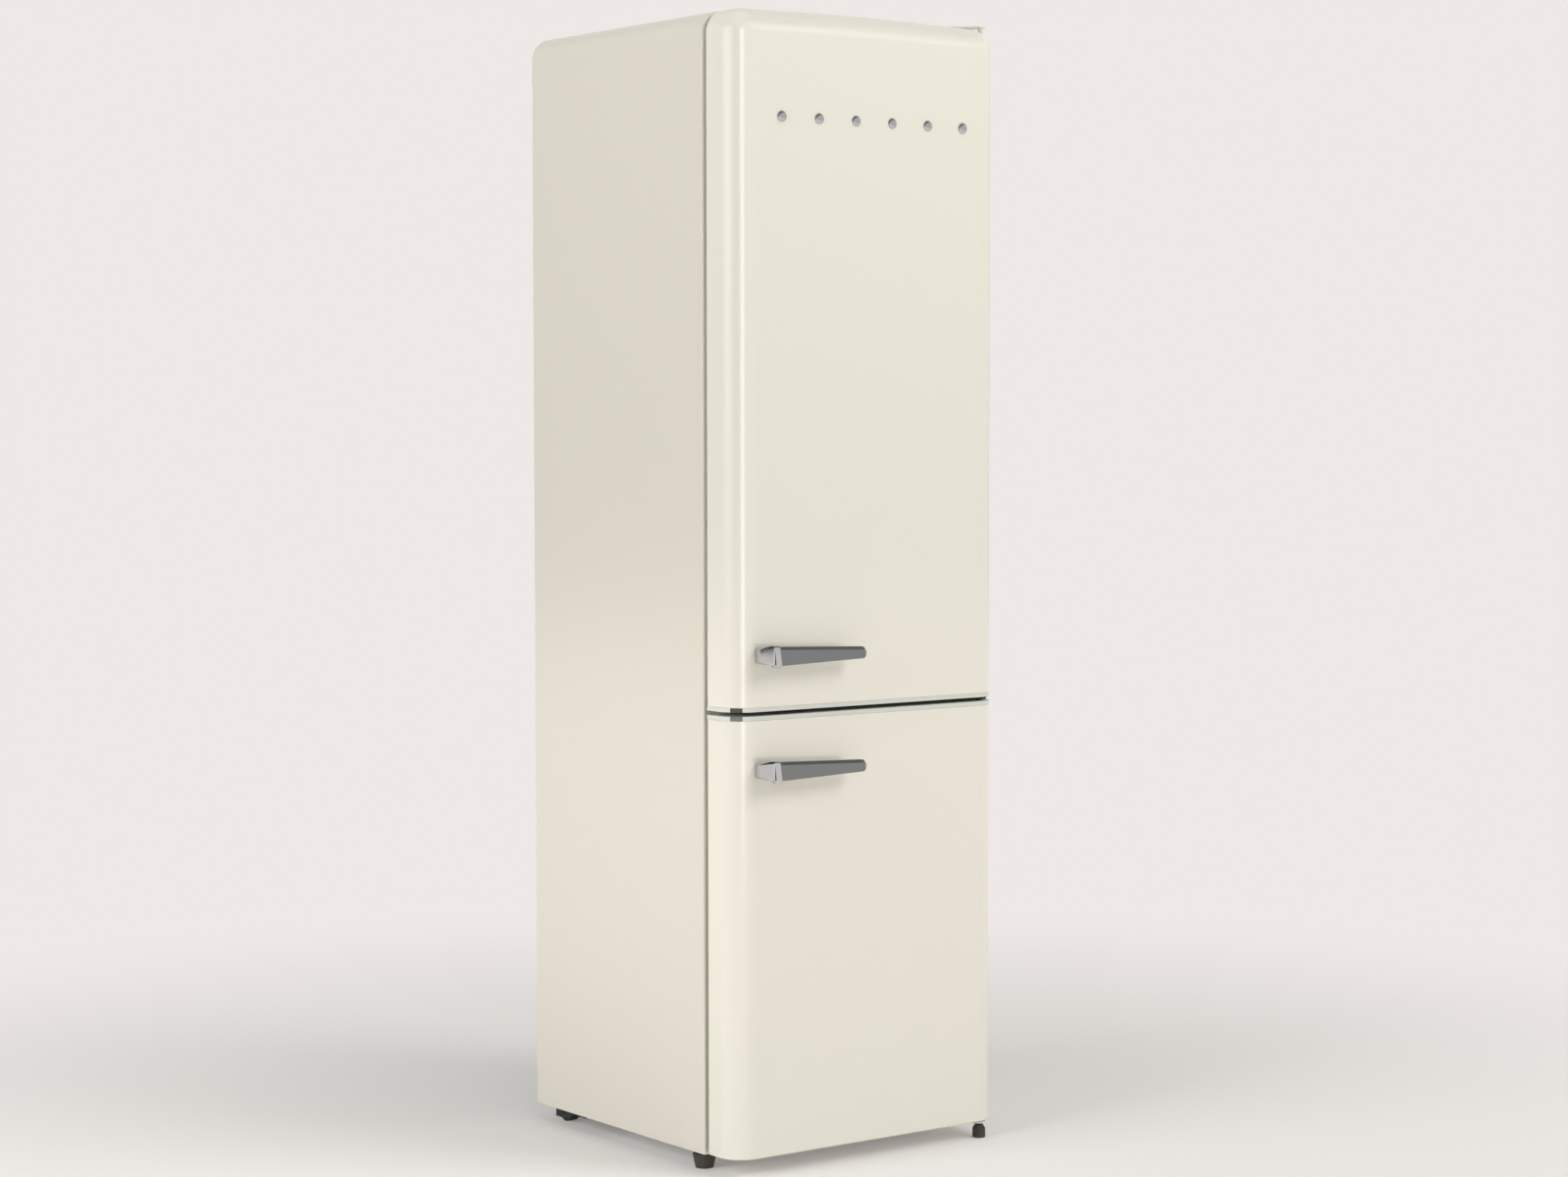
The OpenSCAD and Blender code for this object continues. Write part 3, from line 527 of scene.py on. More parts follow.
def cavity(name, hollow, outer):
    """A moulded liner: a hollow with filleted corners, and a flange round its mouth."""
    build = bmesh.new()
    points, faces = hollow
    verts = [build.verts.new(Vector(p) * MM) for p in points]
    for face in faces:
        build.faces.new([verts[i] for i in face])
    bmesh.ops.recalc_face_normals(build, faces=build.faces)
    mouth_y = min(p[1] for p in points) * MM
    mouth = [f for f in build.faces if all(abs(v.co.y - mouth_y) < 1e-6 for v in f.verts)]
    inner = [e for e in build.edges if not any(f in mouth for f in e.link_faces)]
    bmesh.ops.bevel(
        build,
        geom=inner,
        offset=12 * MM,
        segments=4,
        profile=0.5,
        affect="EDGES",
        clamp_overlap=True,
    )
    front = [f for f in build.faces if all(abs(v.co.y - mouth_y) < 1e-6 for v in f.verts)]
    bmesh.ops.delete(build, geom=front, context="FACES_ONLY")
    edges = [e for e in build.edges if e.is_boundary]
    grown = bmesh.ops.extrude_edge_only(build, edges=edges)
    low, high = Vector(outer[0]) * MM, Vector(outer[1]) * MM
    hole_x = max(abs(p[0]) for p in points) * MM
    hole_z = [min(p[2] for p in points) * MM, max(p[2] for p in points) * MM]
    r = 12 * MM
    for vert in [v for v in grown["geom"] if isinstance(v, bmesh.types.BMVert)]:
        cx = max(-hole_x + r, min(hole_x - r, vert.co.x))
        cz = max(hole_z[0] + r, min(hole_z[1] - r, vert.co.z))
        dx, dz = vert.co.x - cx, vert.co.z - cz
        reach = max(abs(dx), abs(dz), 1e-9)
        edge_x = high.x if dx > 0 else low.x
        edge_z = high.z if dz > 0 else low.z
        vert.co.x = cx + dx / reach * abs(edge_x - cx) if abs(dx) > 1e-7 else vert.co.x
        vert.co.z = cz + dz / reach * abs(edge_z - cz) if abs(dz) > 1e-7 else vert.co.z
    bmesh.ops.recalc_face_normals(build, faces=build.faces)
    mesh = bpy.data.meshes.new(name)
    build.to_mesh(mesh)
    build.free()
    obj = link(bpy.data.objects.new(name, mesh))
    obj.data.flip_normals()
    return obj


def prism(profile, hw):
    """Points and faces of a side-view profile pushed out to both sides."""
    count = len(profile)
    points = [(side * hw, y, z) for side in (-1, 1) for y, z in profile]
    faces = [tuple(range(count)), tuple(reversed(range(count, 2 * count)))]
    for i in range(count):
        j = (i + 1) % count
        faces.append((i, i + count, j + count, j))
    return points, faces


# Inner faces of the two compartments
FRIDGE = {"hw": 230, "floor": 785, "top": ROOF_Z - 45, "back": 255}
FREEZER = {"hw": 205, "floor": 82, "top": 719, "back": 235, "step_y": 65, "step_z": 290}


SHELF_ZS = (1000, 1190, 1380, 1570)
PLATE_ZS = (298, 504)


def liners():
    mouth = Y_CAB + 0.1
    profile = [
        (mouth, FRIDGE["floor"]),
        (FRIDGE["back"], FRIDGE["floor"]),
        (FRIDGE["back"], FRIDGE["top"]),
        (mouth, FRIDGE["top"]),
    ]
    low, high = box_mm("fridge_liner")
    shell = cavity("fridge_hollow", prism(profile, FRIDGE["hw"]), (low, high))
    bars = []
    shelf_low, shelf_high = box_mm("glass_shelves")
    for z in SHELF_ZS:
        for side in (-1, 1):
            xs = sorted((side * (FRIDGE["hw"] - 8), side * (FRIDGE["hw"] + 0.5)))
            bars.append(
                slab("bar", (xs[0], shelf_low.y + 8, z - 8), (xs[1], shelf_high.y, z), 2.5, 3)
            )
    floor = FRIDGE["floor"]
    for x in (-120, 120):
        bars.append(
            slab("bar", (x - 4, shelf_low.y + 4, floor - 0.5), (x + 4, shelf_high.y, floor + 4.5), 2, 3)
        )
    piece(joined("fridge_inner", [thickened(shell, 2), *bars]), "fridge_liner")

    profile = [
        (mouth, FREEZER["floor"]),
        (FREEZER["step_y"], FREEZER["floor"]),
        (FREEZER["step_y"], FREEZER["step_z"]),
        (FREEZER["back"], FREEZER["step_z"]),
        (FREEZER["back"], FREEZER["top"]),
        (mouth, FREEZER["top"]),
    ]
    low, high = box_mm("freezer_liner")
    shell = cavity("freezer_hollow", prism(profile, FREEZER["hw"]), (low, high))
    bars = []
    plate_low = box_mm("freezer_plate_shelves")[0]
    for z in PLATE_ZS:
        for side in (-1, 1):
            xs = sorted((side * (FREEZER["hw"] - 15), side * (FREEZER["hw"] + 0.5)))
            bars.append(
                slab("bar", (xs[0], plate_low.y + 4, z - 10), (xs[1], FREEZER["back"] - 8, z - 4), 2, 3)
            )
    floor = FREEZER["floor"]
    bar_end = FREEZER["step_y"] - 12
    for x in (-120, 120):
        bars.append(
            slab("bar", (x - 4, plate_low.y - 8, floor - 0.5), (x + 4, bar_end, floor + 5.5), 2, 3)
        )
    piece(joined("freezer_inner", [thickened(shell, 2), *bars]), "freezer_liner")


def plain_cabinet_nodes():
    soft = {
        "base_plate": 0.5,
        "mid_rail": 0.5,
        "top_hinge": 0.5,
        "top_hinge_cover": 1.6,
        "middle_hinge": 0.5,
        "bottom_hinge": 0.5,
        "fridge_cold_plate": 0.8,
        "freezer_plate_shelves": 1.0,
        "glass_shelves": 0.7,
        "shelf_trims": 1.2,
        "thermostat_housing": 1.0,
        "compressor_rail": 0.4,
        "relay_box": 1.5,
        "drip_tray": 0.8,
        "drain_tube": 0.3,
        "cord_inlet": 1.2,
        "switch_plunger": 0.4,
        "upper_door_end_cap": 0.8,
        "lower_door_end_cap": 0.8,
        "upper_door_plug": 0.6,
        "lower_door_plug": 0.6,
        "upper_door_bushes": 0.4,
        "lower_door_bushes": 0.4,
        "upper_door_liner": 1.2,
        "lower_door_liner": 1.2,
    }
    for node, width in soft.items():
        refined(node, width, steps=3 if width >= 1 else 2)


def screws():
    """Pan heads with a cross recess, over the shanks of the CAD screws."""
    top = ROOF_Z + 4
    spots = [((x, Y_CAB + y, top), "Z", 1) for x, y in ((190, 55), (218, 55), (204, 22))]
    spots += [((x, Y_CAB - 2.5, 752), "Y", -1) for x in (177, 231)]
    spots += [((x, Y_CAB + 22, SHELL_LOW.z - 3), "Z", -1) for x in (209, 249)]
    spots += [((x, y, 54.5), "Z", 1) for x in (5, 135) for y in (174, 270)]

    def cross(a, h):
        return 0.42 + 0.58 * abs(math.cos(2 * a)) ** 3

    heads = []
    for base, axis, way in spots:
        dome = [(5, 0), (5, 0.8), (4.6, 1.7), (3.8, 2.2), (2.6, 2.45)]
        heads.append(lathe("head", [(r, h * way) for r, h in dome], base, axis, 24))
        lift = {"Z": Vector((0, 0, way)), "Y": Vector((0, way, 0))}[axis] * 1.0
        sunk = [(2.6, 1.47 * way), (2.3, 1.49 * way)]
        heads.append(lathe("cross", sunk, Vector(base) + lift, axis, 24, cross))
        heads.append(lathe("shank", [(2.4, 0), (2.4, -9 * way), (0.6, -10.5 * way)], base, axis, 16))
    piece(joined("screw_heads", heads), "cabinet_screws")


def lamp():
    low, high = box_mm("lamp_bulb")
    mid = (low + high) / 2
    axis_z = high.z - 18
    glass = [(1, 0), (4, 0.4), (7, 2.2), (8.6, 5.5), (9, 10), (9, 34), (8, 40), (6.6, 45)]
    bulb = lathe("lamp_glass_bulb", glass, (low.x, mid.y, axis_z), "X", 32)
    cap = [(6.4, 45), (6.4, 47)]
    for i in range(5):
        cap += [(6.4, 47.6 + i * 2.4), (5.8, 48.8 + i * 2.4)]
    cap += [(6.2, 60), (4, 62)]
    holder = slab("holder", (high.x - 8, low.y, low.z), high, 1.5)
    piece(bulb, "lamp_bulb")
    socket = joined("lamp_socket", [lathe("cap", cap, (low.x, mid.y, axis_z), "X", 32), holder])
    extra(socket, "lamp_bulb", "white_trim")


def condenser():
    low, high = box_mm("condenser")
    y = high.y - 3.6
    r = 2.35
    bend_x = 180
    pitch = 70
    z0 = low.z + 15
    runs = 17
    route = []
    for i in range(runs):
        side = 1 if i % 2 == 0 else -1
        z = z0 + i * pitch
        route.append((-side * bend_x, y, z))
        if i == runs - 1:
            route.append((side * bend_x, y, z))
            continue
        for x, dz in arc(0, 0, pitch / 2, -90, 90, 12):
            route.append((side * (bend_x + x), y, z + pitch / 2 + dz))
    parts = [tube("run", route, r, 10)]
    for k in range(36):
        x = -175 + k * 10
        for side in (-1, 1):
            wire_y = y + side * (r + 0.55)
            parts.append(tube("wire", [(x, wire_y, low.z), (x, wire_y, high.z)], 0.85, 6))
    panel_y = box_mm("back_panel")[1].y
    for x in (-140, 140):
        for k in (2, 14):
            z = z0 + k * pitch
            parts.append(slab("stay", (x - 7, panel_y - 1.5, z - 7), (x + 7, y, z + 7), 1.5))
    piece(joined("condenser_grid", parts), "condenser")


def compressor():
    low, high = box_mm("compressor")
    cx, cy = 70, Y_CAB_BACK - 91
    pot_r = 62
    z = low.z + 2.5
    tall = high.z - z
    profile = [(pot_r - 12, 0), (pot_r - 4, 1.5), (pot_r - 1, 6), (pot_r - 1, 62)]
    profile += [(pot_r - 0.2, 63), (pot_r, 64.5), (pot_r - 0.2, 66), (pot_r - 1, 67)]
    profile += [(pot_r - 1, tall - 34)]
    profile += [(28 + x, tall - 34 + h) for x, h in arc(0, 0, 33, 6, 90, 12)]
    profile += [(14, tall - 0.8), (4, tall - 0.3)]
    pot = lathe("pot", profile, (cx, cy, z), "Z", 64)
    outline = round_rect(cx - 78, cy - 58, cx + 78, cy + 58, [16] * 4)
    feet = loft(
        "feet",
        [[(x, y, h) for x, y in outline] for h in (low.z, z)],
        cap_first=True,
        cap_last=True,
    )
    stub = lathe("stub", [(3.6, 0), (3.6, 9), (2.8, 9.5), (2.8, 14)], (cx - 30, cy, high.z - 14), "Z", 20)
    piece(joined("compressor_pot", [pot, rounded(feet, 0.6), stub]), "compressor", angle=40)


def mounts():
    low, high = box_mm("compressor_mounts")
    grips = []
    for x in (5, 135):
        for y in (174, 270):
            tall = high.z - low.z
            profile = [(8, 0), (9.6, 1), (10, 2.4), (9.4, 4), (8, 5), (8, tall - 5), (9.4, tall - 4)]
            profile += [(10, tall - 2.4), (9.6, tall - 1), (8, tall)]
            grips.append(lathe("grip", profile, (x, y, low.z), "Z", 32))
    piece(joined("compressor_grips", grips), "compressor_mounts", angle=50)


def copper_lines():
    y = box_mm("refrigerant_lines")[1].y - 3.5
    cx, cy = 70, Y_CAB_BACK - 91
    inner_y = 290
    niche_z = 240
    hot = [(cx - 61, cy, 120), (-150, cy, 120), (-150, y, 120)]
    hot += [(-225, y, 190), (-225, y, 432), (-182, y, 440)]
    cold = [(182, y, 1560), (225, y, 1552), (225, y, 232), (225, inner_y, 218), (225, inner_y, 75)]
    cold += [(190, inner_y, 75), (190, inner_y, niche_z)]
    suction = [(160, inner_y, niche_z), (160, inner_y, 110), (160, cy, 110), (cx + 60.5, cy, 110)]
    parts = [
        tube("hot", filleted(hot, 22), 2.9, 14),
        tube("cold", filleted(cold, 16), 2.3, 14),
        tube("suction", filleted(suction, 26), 3.9, 14),
    ]
    drier_length = 100
    lower_end = [(2.6, 0), (3.2, 6), (7.5, 13), (8.8, 17), (9, 20)]
    shape = lower_end + [(r, drier_length - h) for r, h in reversed(lower_end)]
    parts.append(lathe("drier", shape, (225, inner_y, 105), "Z", 32))
    piece(joined("copper_tubes", parts), "refrigerant_lines", angle=50)


# ---- Doors ----


def door_outline(inset, crown=0.0, back=None):
    """Plan of a door from its left rear edge round the front to its right rear edge."""
    hw = HALF_W - inset
    front = Y_DOOR + inset
    back = Y_DOOR_BACK if back is None else back
    r = DOOR_R - inset
    cx = hw - r
    fold = 3.0
    left = [(-hw + fold + x, back - fold + y) for x, y in arc(0, 0, fold, 90, 180, 4)]
    left += arc(-cx, front + r, r, 180, 270, 14)
    middle = []
    for x, y in between((-cx, front), (cx, front), 26)[1:]:
        flat = 1 - (x / cx) ** 2
        middle.append((x, y - crown * flat**2))
    right = [(-x, y) for x, y in reversed(left)]
    return left + middle + right


def crown_at(z, z0, z1):
    t = (z - z0) / (z1 - z0)
    return 1.3 * (1 - (2 * t - 1) ** 4)


def door_rings(path, z0, z1):
    rings = []
    for inset, z in path:
        crown = crown_at(z, z0, z1) if z0 <= z <= z1 else 0.0
        lift = min(max((z - ROOF_Z) / (ROOF_R + 30) + 1, 0.0), 1.0)
        rings.append([(x, y, z + roof_crown(x) * lift) for x, y in door_outline(inset, crown)])
    return rings


def door_core(node, path):
    """The foam that fills a door, just clear of its skin."""
    rings = []
    for inset, z in path:
        outline = door_outline(inset + 2.2, back=Y_DOOR_BACK - 1)
        rings.append([(x, y, z) for x, y in outline])
    piece(loft(node + "_core", rings, cap_first=True, cap_last=True), node)


def upper_door():
    z0 = UPPER_LOW.z
    roll = ROOF_Z - ROOF_R
    path = [(5, z0), (0.8, z0), (0.25, z0 + 0.25), (0, z0 + 0.8)]
    count = 22
    path += [(0, z0 + 0.8 + (roll - z0 - 0.8) * i / count) for i in range(1, count + 1)]
    path += [(ROOF_R - x, roll + h) for x, h in arc(0, 0, ROOF_R, 0, 90, 14)[1:]]
    rings = door_rings(path, z0 + 0.8, roll)
    top_hw = HALF_W - ROOF_R - 4
    rear = [(x, Y_DOOR_BACK, ROOF_Z + roof_crown(x)) for x, _ in between((top_hw, 0), (-top_hw, 0), 20)]
    skin = loft("upper_door_panel", rings, closed=False, cap_last=True, rear=rear)
    piece(thickened(skin, SKIN_T), "upper_door_skin", angle=40)
    core = [(0, z0 + 9), (0, roll)]
    core += [(ROOF_R - x, roll + h) for x, h in arc(0, 0, ROOF_R - 2.2, 0, 85, 10)[1:]]
    door_core("upper_door_foam", [(max(0, inset - 2.2), z) for inset, z in core])


def lower_door():
    z0 = LOWER_LOW.z
    z1 = LOWER_HIGH.z
    fold = 3.0
    path = [(fold - x, z0 + fold - h) for x, h in arc(0, 0, fold, 90, 0, 5)]
    count = 16
    top = z1 - 0.8
    path += [(0, z0 + fold + (top - z0 - fold) * i / count) for i in range(1, count + 1)]
    path += [(0.25, z1 - 0.25), (0.8, z1), (5, z1)]
    skin = loft("lower_door_panel", door_rings(path, z0 + fold, top), closed=False, cap_first=True)
    piece(thickened(skin, SKIN_T), "lower_door_skin", angle=40)
    door_core("lower_door_foam", [(0, z0 + 3), (0, z1 - 9)])


def gasket(node):
    """A bellows seal: its section goes round the door's back, and the section is closed."""
    low, high = box_mm(node)
    y0, y1 = low.y, high.y
    wider = 6
    low -= Vector((wider, 0, 0))
    high += Vector((wider, 0, 0))
    section = [
        (0.6, y0), (0, y0 + 0.8), (0, y0 + 3.2), (0.8, y0 + 4), (2.8, y0 + 4.6), (2.8, y0 + 5.6),
        (0.8, y0 + 6.2), (0, y0 + 7), (0, y1 - 1.2), (0.4, y1 - 0.3), (1.6, y1), (12.4, y1),
        (13.6, y1 - 0.3), (14, y1 - 1.2), (14, y0 + 7), (13.2, y0 + 6.2), (11.4, y0 + 5.6),
        (11.4, y0 + 4.6), (13.2, y0 + 4), (14, y0 + 3.2), (14, y0 + 0.8), (13.4, y0),
    ]
    rings = []
    for inset, y in section:
        r = max(16 - inset, 2)
        outline = round_rect(low.x + inset, low.z + inset, high.x - inset, high.z - inset, [r] * 4, 6)
        rings.append([(x, y, z) for x, z in outline])
    piece(loft(node + "_seal", rings, wrap=True), node, angle=45)


def balcony(node):
    low, high = box_mm(node)
    z0, z1 = low.z, high.z
    path = [(7, z0), (3, z0 + 0.6), (0.8, z0 + 2.6), (0, z0 + 6), (0, z1 - 12), (0.9, z1 - 11)]
    path += [(0.9, z1 - 8), (0, z1 - 7), (0, z1 - 0.8), (0.8, z1)]
    rings = []
    for inset, z in path:
        near = max(4 - inset, 0.5)
        far = 24 - inset
        outline = round_rect(
            low.x + inset, low.y + inset, high.x - inset, high.y - inset, [near, near, far, far], 6
        )
        rings.append([(x, y, z) for x, y in outline])
    piece(thickened(loft(node + "_bin", rings, cap_first=True), 2.4), node)


def studs():
    low, high = box_mm("badge_studs")
    z = (low.z + high.z) / 2
    r = (high.z - low.z) / 2
    pitch = (high.x - low.x - 2 * r) / 5
    caps = []
    for i in range(6):
        x = low.x + r + i * pitch
        dome = [(r, 0), (r, -1.2), (r - 0.3, -1.7), (r - 0.9, -1.9), (r - 1.1, -1.75), (r - 1.4, -1.8)]
        dome += [(r - 1.8, -2.4), (r - 2.8, -3.1), (r - 4.4, -3.6), (r - 6.4, -3.9)]
        caps.append(lathe("cap", dome, (x, high.y, z), "Y", 40))
    piece(joined("badge_caps", caps), "badge_studs", angle=40)


# ---- Handles ----


def section_ring(outer, inner, low, high, r, steps=4):
    """A rounded oblong between two plan points, standing from low to high."""
    across = Vector(inner) - Vector(outer)
    wide = across.length
    way = across.normalized()
    ring = []
    for u, z in round_rect(0, low, wide, high, [r] * 4, steps):
        spot = Vector(outer) + way * u
        ring.append((spot.x, spot.y, z))
    return ring


COLLAR_W = 11.5
ARM_RX = 10
ARM_PROUD = 42
ARM_T = 14


def handle_arm(node):
    """The chrome arm that sweeps out of the door, the dark neck and the slanted collar."""
    low, high = box_mm(node)
    mid = (low.z + 3 + high.z - 1) / 2
    hub_x = low.x + ARM_RX
    front = Y_DOOR - ARM_PROUD
    rings = []
    count = 20
    for i in range(count + 1):
        t = i / count
        a = math.radians(180 + 90 * t)
        half = 14 + t
        rise = 13.4 + 4 * math.sin(min(1.0, t * 1.3) * math.pi / 2)
        outer = (hub_x + ARM_RX * math.cos(a), Y_DOOR + ARM_PROUD * math.sin(a))
        inner = (hub_x - 4.5 * math.cos(a), Y_DOOR + (ARM_PROUD - ARM_T) * math.sin(a))
        rings.append(section_ring(outer, inner, mid - half, mid + rise, 6.5 - 2.5 * t))
    arm = loft("arm", rings, cap_first=True, cap_last=True)

    collar_x = high.x - COLLAR_W
    neck = slab(
        "neck", (hub_x - 1, front + 1.4, mid - 13.5), (collar_x + 2, front + ARM_T - 1.6, mid + 13.5), 0.4
    )

    rings = []
    lean = 0.13
    path = [(0, 0.9), (0.3, 0.3), (1, 0), (COLLAR_W - 1, 0), (COLLAR_W - 0.3, 0.3), (COLLAR_W, 0.9)]
    for x, inset in path:
        outline = round_rect(
            front + inset, low.z + inset, front + ARM_T + 2 - inset, high.z - inset, [3.6] * 4, 5
        )
        rings.append([(collar_x + x - (z - mid) * lean, y, z) for y, z in outline])
    collar = loft("collar", rings, cap_first=True, cap_last=True)
    piece(joined(node + "_chrome", [arm, collar]), node, angle=40)
    neck.name = node + "_neck"
    # The neck wears plug_dark, the plug plastic darkened into painted shade.
    extra(neck, node, "plug_dark")


def handle_blade(node):
    """The satin blade: bevelled along its top, tapering to an end with rounded corners."""
    low, high = box_mm(node)
    mid = (low.z + high.z) / 2
    root_half = (high.z - low.z) / 2
    front = low.y
    back = high.y
    corner = 5.0
    length = high.x - low.x
    xs = [low.x + (length - corner) * s for s in (0.0, 0.25, 0.5, 0.75)]
    xs += [high.x - corner + corner * math.sin(math.radians(a)) for a in (0, 15, 30, 45, 60, 75, 90)]
    rings = []
    for x in xs:
        t = (x - low.x) / length
        over = max(0.0, x - (high.x - corner))
        drop = corner - math.sqrt(max(corner**2 - over**2, 0.0))
        top = mid + root_half + (9 - root_half) * t - drop
        bottom = mid - root_half + (root_half - 10) * t + drop
        bevel = min(4.8, (top - bottom) * 0.3)
        pull = over * 0.12
        rings.append(
            [
                (x, front + 1.4 + pull, bottom),
                (x, front + pull, bottom + 1.4),
                (x, front + pull, top - bevel),
                (x, front + pull + bevel * 0.8, top),
                (x, back - 1.5, top),
                (x, back, top - 1.5),
                (x, back, bottom + 1.5),
                (x, back - 1.5, bottom),
            ]
        )
    blade = loft(node + "_satin", rings, cap_first=True, cap_last=True)
    piece(rounded(blade, 0.5, 2, 28), node, angle=30)


# ---- Sliding and turning pieces ----


def drawer(node, ribs):
    low, high = box_mm(node)
    z0, z1 = low.z, high.z
    slot_low, slot_high = z1 - 40, z1 - 14
    path = [(9, z0), (4, z0 + 0.8), (1.2, z0 + 3.2), (0, z0 + 8)]
    rib_zs = [z0 + 30 + (slot_low - z0 - 50) * i / max(ribs - 1, 1) for i in range(ribs)]
    for z in rib_zs:
        path += [(0, z - 4), (1.3, z - 2.6), (1.3, z + 2.6), (0, z + 4)]
    path += [(0, slot_low), (0, slot_high), (0, z1 - 4), (0, z1 - 0.8), (0.7, z1)]
    r = 12
    rings = []
    for inset, z in path:
        radii = [r - inset * 0.8] * 4
        outline = round_rect(low.x + inset, low.y + inset, high.x - inset, high.y - inset, radii, 6)
        corner = 7
        ahead = [(-65, low.y + inset), (0, low.y + inset), (65, low.y + inset)]
        rings.append([(x, y, z) for x, y in outline[:corner] + ahead + outline[corner:]])

    def in_slot(p):
        return p.y < low.y + 3 and abs(p.x) < 65 and slot_low < p.z < slot_high

    tub = thickened(loft(node + "_tub", rings, cap_first=True, skip=in_slot), 2.3)
    piece(tub, node)


def knob():
    low, high = box_mm("thermostat_knob")
    cx, cy = (low.x + high.x) / 2, (low.y + high.y) / 2

    def fluted(a, h):
        return 1 - 0.02 * (1 + math.cos(24 * a)) if h < 16 else 1

    profile = [(4, 3.2), (13.5, 3), (16, 4), (16.8, 6), (17, 12), (17, 15.5)]
    profile += [(16.4, 16.5), (4, 16.5), (4, 32)]
    turned = lathe("turned", profile, (cx, cy, low.z), "Z", 120, fluted)
    ridge = slab("ridge", (cx - 2.5, low.y, low.z), (cx + 2.5, high.y, low.z + 3.4), 1.0)
    piece(joined("thermostat_dial", [turned, ridge]), "thermostat_knob", angle=40)


def feet():
    low, high = box_mm("foot_left")
    x, y = (low.x + high.x) / 2, (low.y + high.y) / 2

    def ribbed(a, h):
        return 1 - 0.015 * (1 + math.cos(16 * a)) if 2 < h < 22 else 1

    profile = [(13.6, 0), (14.6, 0.4), (15, 1.4), (15.2, 2.1), (18.9, 19), (19.4, 22.1), (19.5, 23)]
    profile += [(18.9, 24), (5, 24), (5, 46)]
    piece(lathe("levelling_foot_left", profile, (x, y, 0), "Z", 96, ribbed), "foot_left", angle=40)

    low, high = box_mm("foot_right")
    x, y = (low.x + high.x) / 2, (low.y + high.y) / 2
    profile = [(9.8, 0), (10.7, 0.4), (11, 1.3), (11, 15.4), (10.7, 16.4), (6, 23.6), (5, 24.2), (5, 28)]
    piece(lathe("levelling_foot_right", profile, (x, y, 0), "Z", 96), "foot_right", angle=40)


def rollers():
    for node in ("roller_left", "roller_right"):
        low, high = box_mm(node)
        cy, cz = (low.y + high.y) / 2, (low.z + high.z) / 2
        wide = high.x - low.x
        r = (high.z - low.z) / 2
        profile = [(4.1, 1.5), (7, 1.5), (7.4, 0), (9, 0), (9.6, 2.2), (14.4, 2.2), (15, 0.4), (r - 1.2, 0)]
        profile += [(r - 0.2, 0.8), (r, 2)]
        profile += [(rr, wide - h) for rr, h in reversed(profile)]
        turns = [2 * math.pi * i / 64 for i in range(64)]
        rings = [
            [(low.x + h, cy + rr * math.cos(a), cz + rr * math.sin(a)) for a in turns] for rr, h in profile
        ]
        wheel = loft(node + "_wheel", rings, wrap=True)
        piece(wheel, node, angle=40)


# ---- Stage, light and camera ----

BACKDROP = (0.855, 0.812, 0.791, 1.0)


def plain_floor():
    """A pale floor that fades into the backdrop's colour away from the object, and glows with 0.22 of it
    even beside the object: painted light that lifts the shadows there.
    """
    mesh = bpy.data.meshes.new("floor")
    build = bmesh.new()
    bmesh.ops.create_circle(build, cap_ends=True, radius=14.0, segments=96)
    build.to_mesh(mesh)
    build.free()
    floor = link(bpy.data.objects.new("floor", mesh))
    mat = bpy.data.materials.new("floor_paper")
    mat.use_nodes = True
    tree = mat.node_tree
    shader = tree.nodes["Principled BSDF"]
    shader.inputs["Base Color"].default_value = (0.80, 0.79, 0.77, 1.0)
    shader.inputs["Roughness"].default_value = 0.75
    coords = new_node(tree, "ShaderNodeTexCoord")
    length = new_node(tree, "ShaderNodeVectorMath", operation="LENGTH")
    tree.links.new(coords.outputs["Object"], length.inputs[0])
    fade = new_node(tree, "ShaderNodeMapRange", interpolation_type="SMOOTHSTEP")
    fade.inputs["From Min"].default_value = 0.4
    fade.inputs["From Max"].default_value = 2.6
    # To Min keeps 0.22 of the glow under and beside the object, painted light over its shadows.
    fade.inputs["To Min"].default_value = 0.22
    tree.links.new(length.outputs["Value"], fade.inputs["Value"])
    glow = new_node(tree, "ShaderNodeEmission")
    glow.inputs["Color"].default_value = BACKDROP
    mix = new_node(tree, "ShaderNodeMixShader")
    tree.links.new(fade.outputs["Result"], mix.inputs["Fac"])
    tree.links.new(shader.outputs["BSDF"], mix.inputs[1])
    tree.links.new(glow.outputs["Emission"], mix.inputs[2])
    tree.links.new(mix.outputs["Shader"], tree.nodes["Material Output"].inputs["Surface"])
    mesh.materials.append(mat)


def plain_backdrop():
    """A pale dome that only the camera sees, so that the light can be set on its own."""
    mesh = bpy.data.meshes.new("backdrop")
    build = bmesh.new()
    bmesh.ops.create_uvsphere(build, u_segments=48, v_segments=24, radius=30.0)
    build.to_mesh(mesh)
    build.free()
    dome = link(bpy.data.objects.new("backdrop", mesh))
    mat = bpy.data.materials.new("backdrop_paper")
    mat.use_nodes = True
    tree = mat.node_tree
    tree.nodes.clear()
    glow = new_node(tree, "ShaderNodeEmission")
    glow.inputs["Color"].default_value = BACKDROP
    out = new_node(tree, "ShaderNodeOutputMaterial")
    tree.links.new(glow.outputs["Emission"], out.inputs["Surface"])
    mesh.materials.append(mat)
    dome.visible_diffuse = False
    dome.visible_glossy = False
    dome.visible_transmission = False
    dome.visible_shadow = False


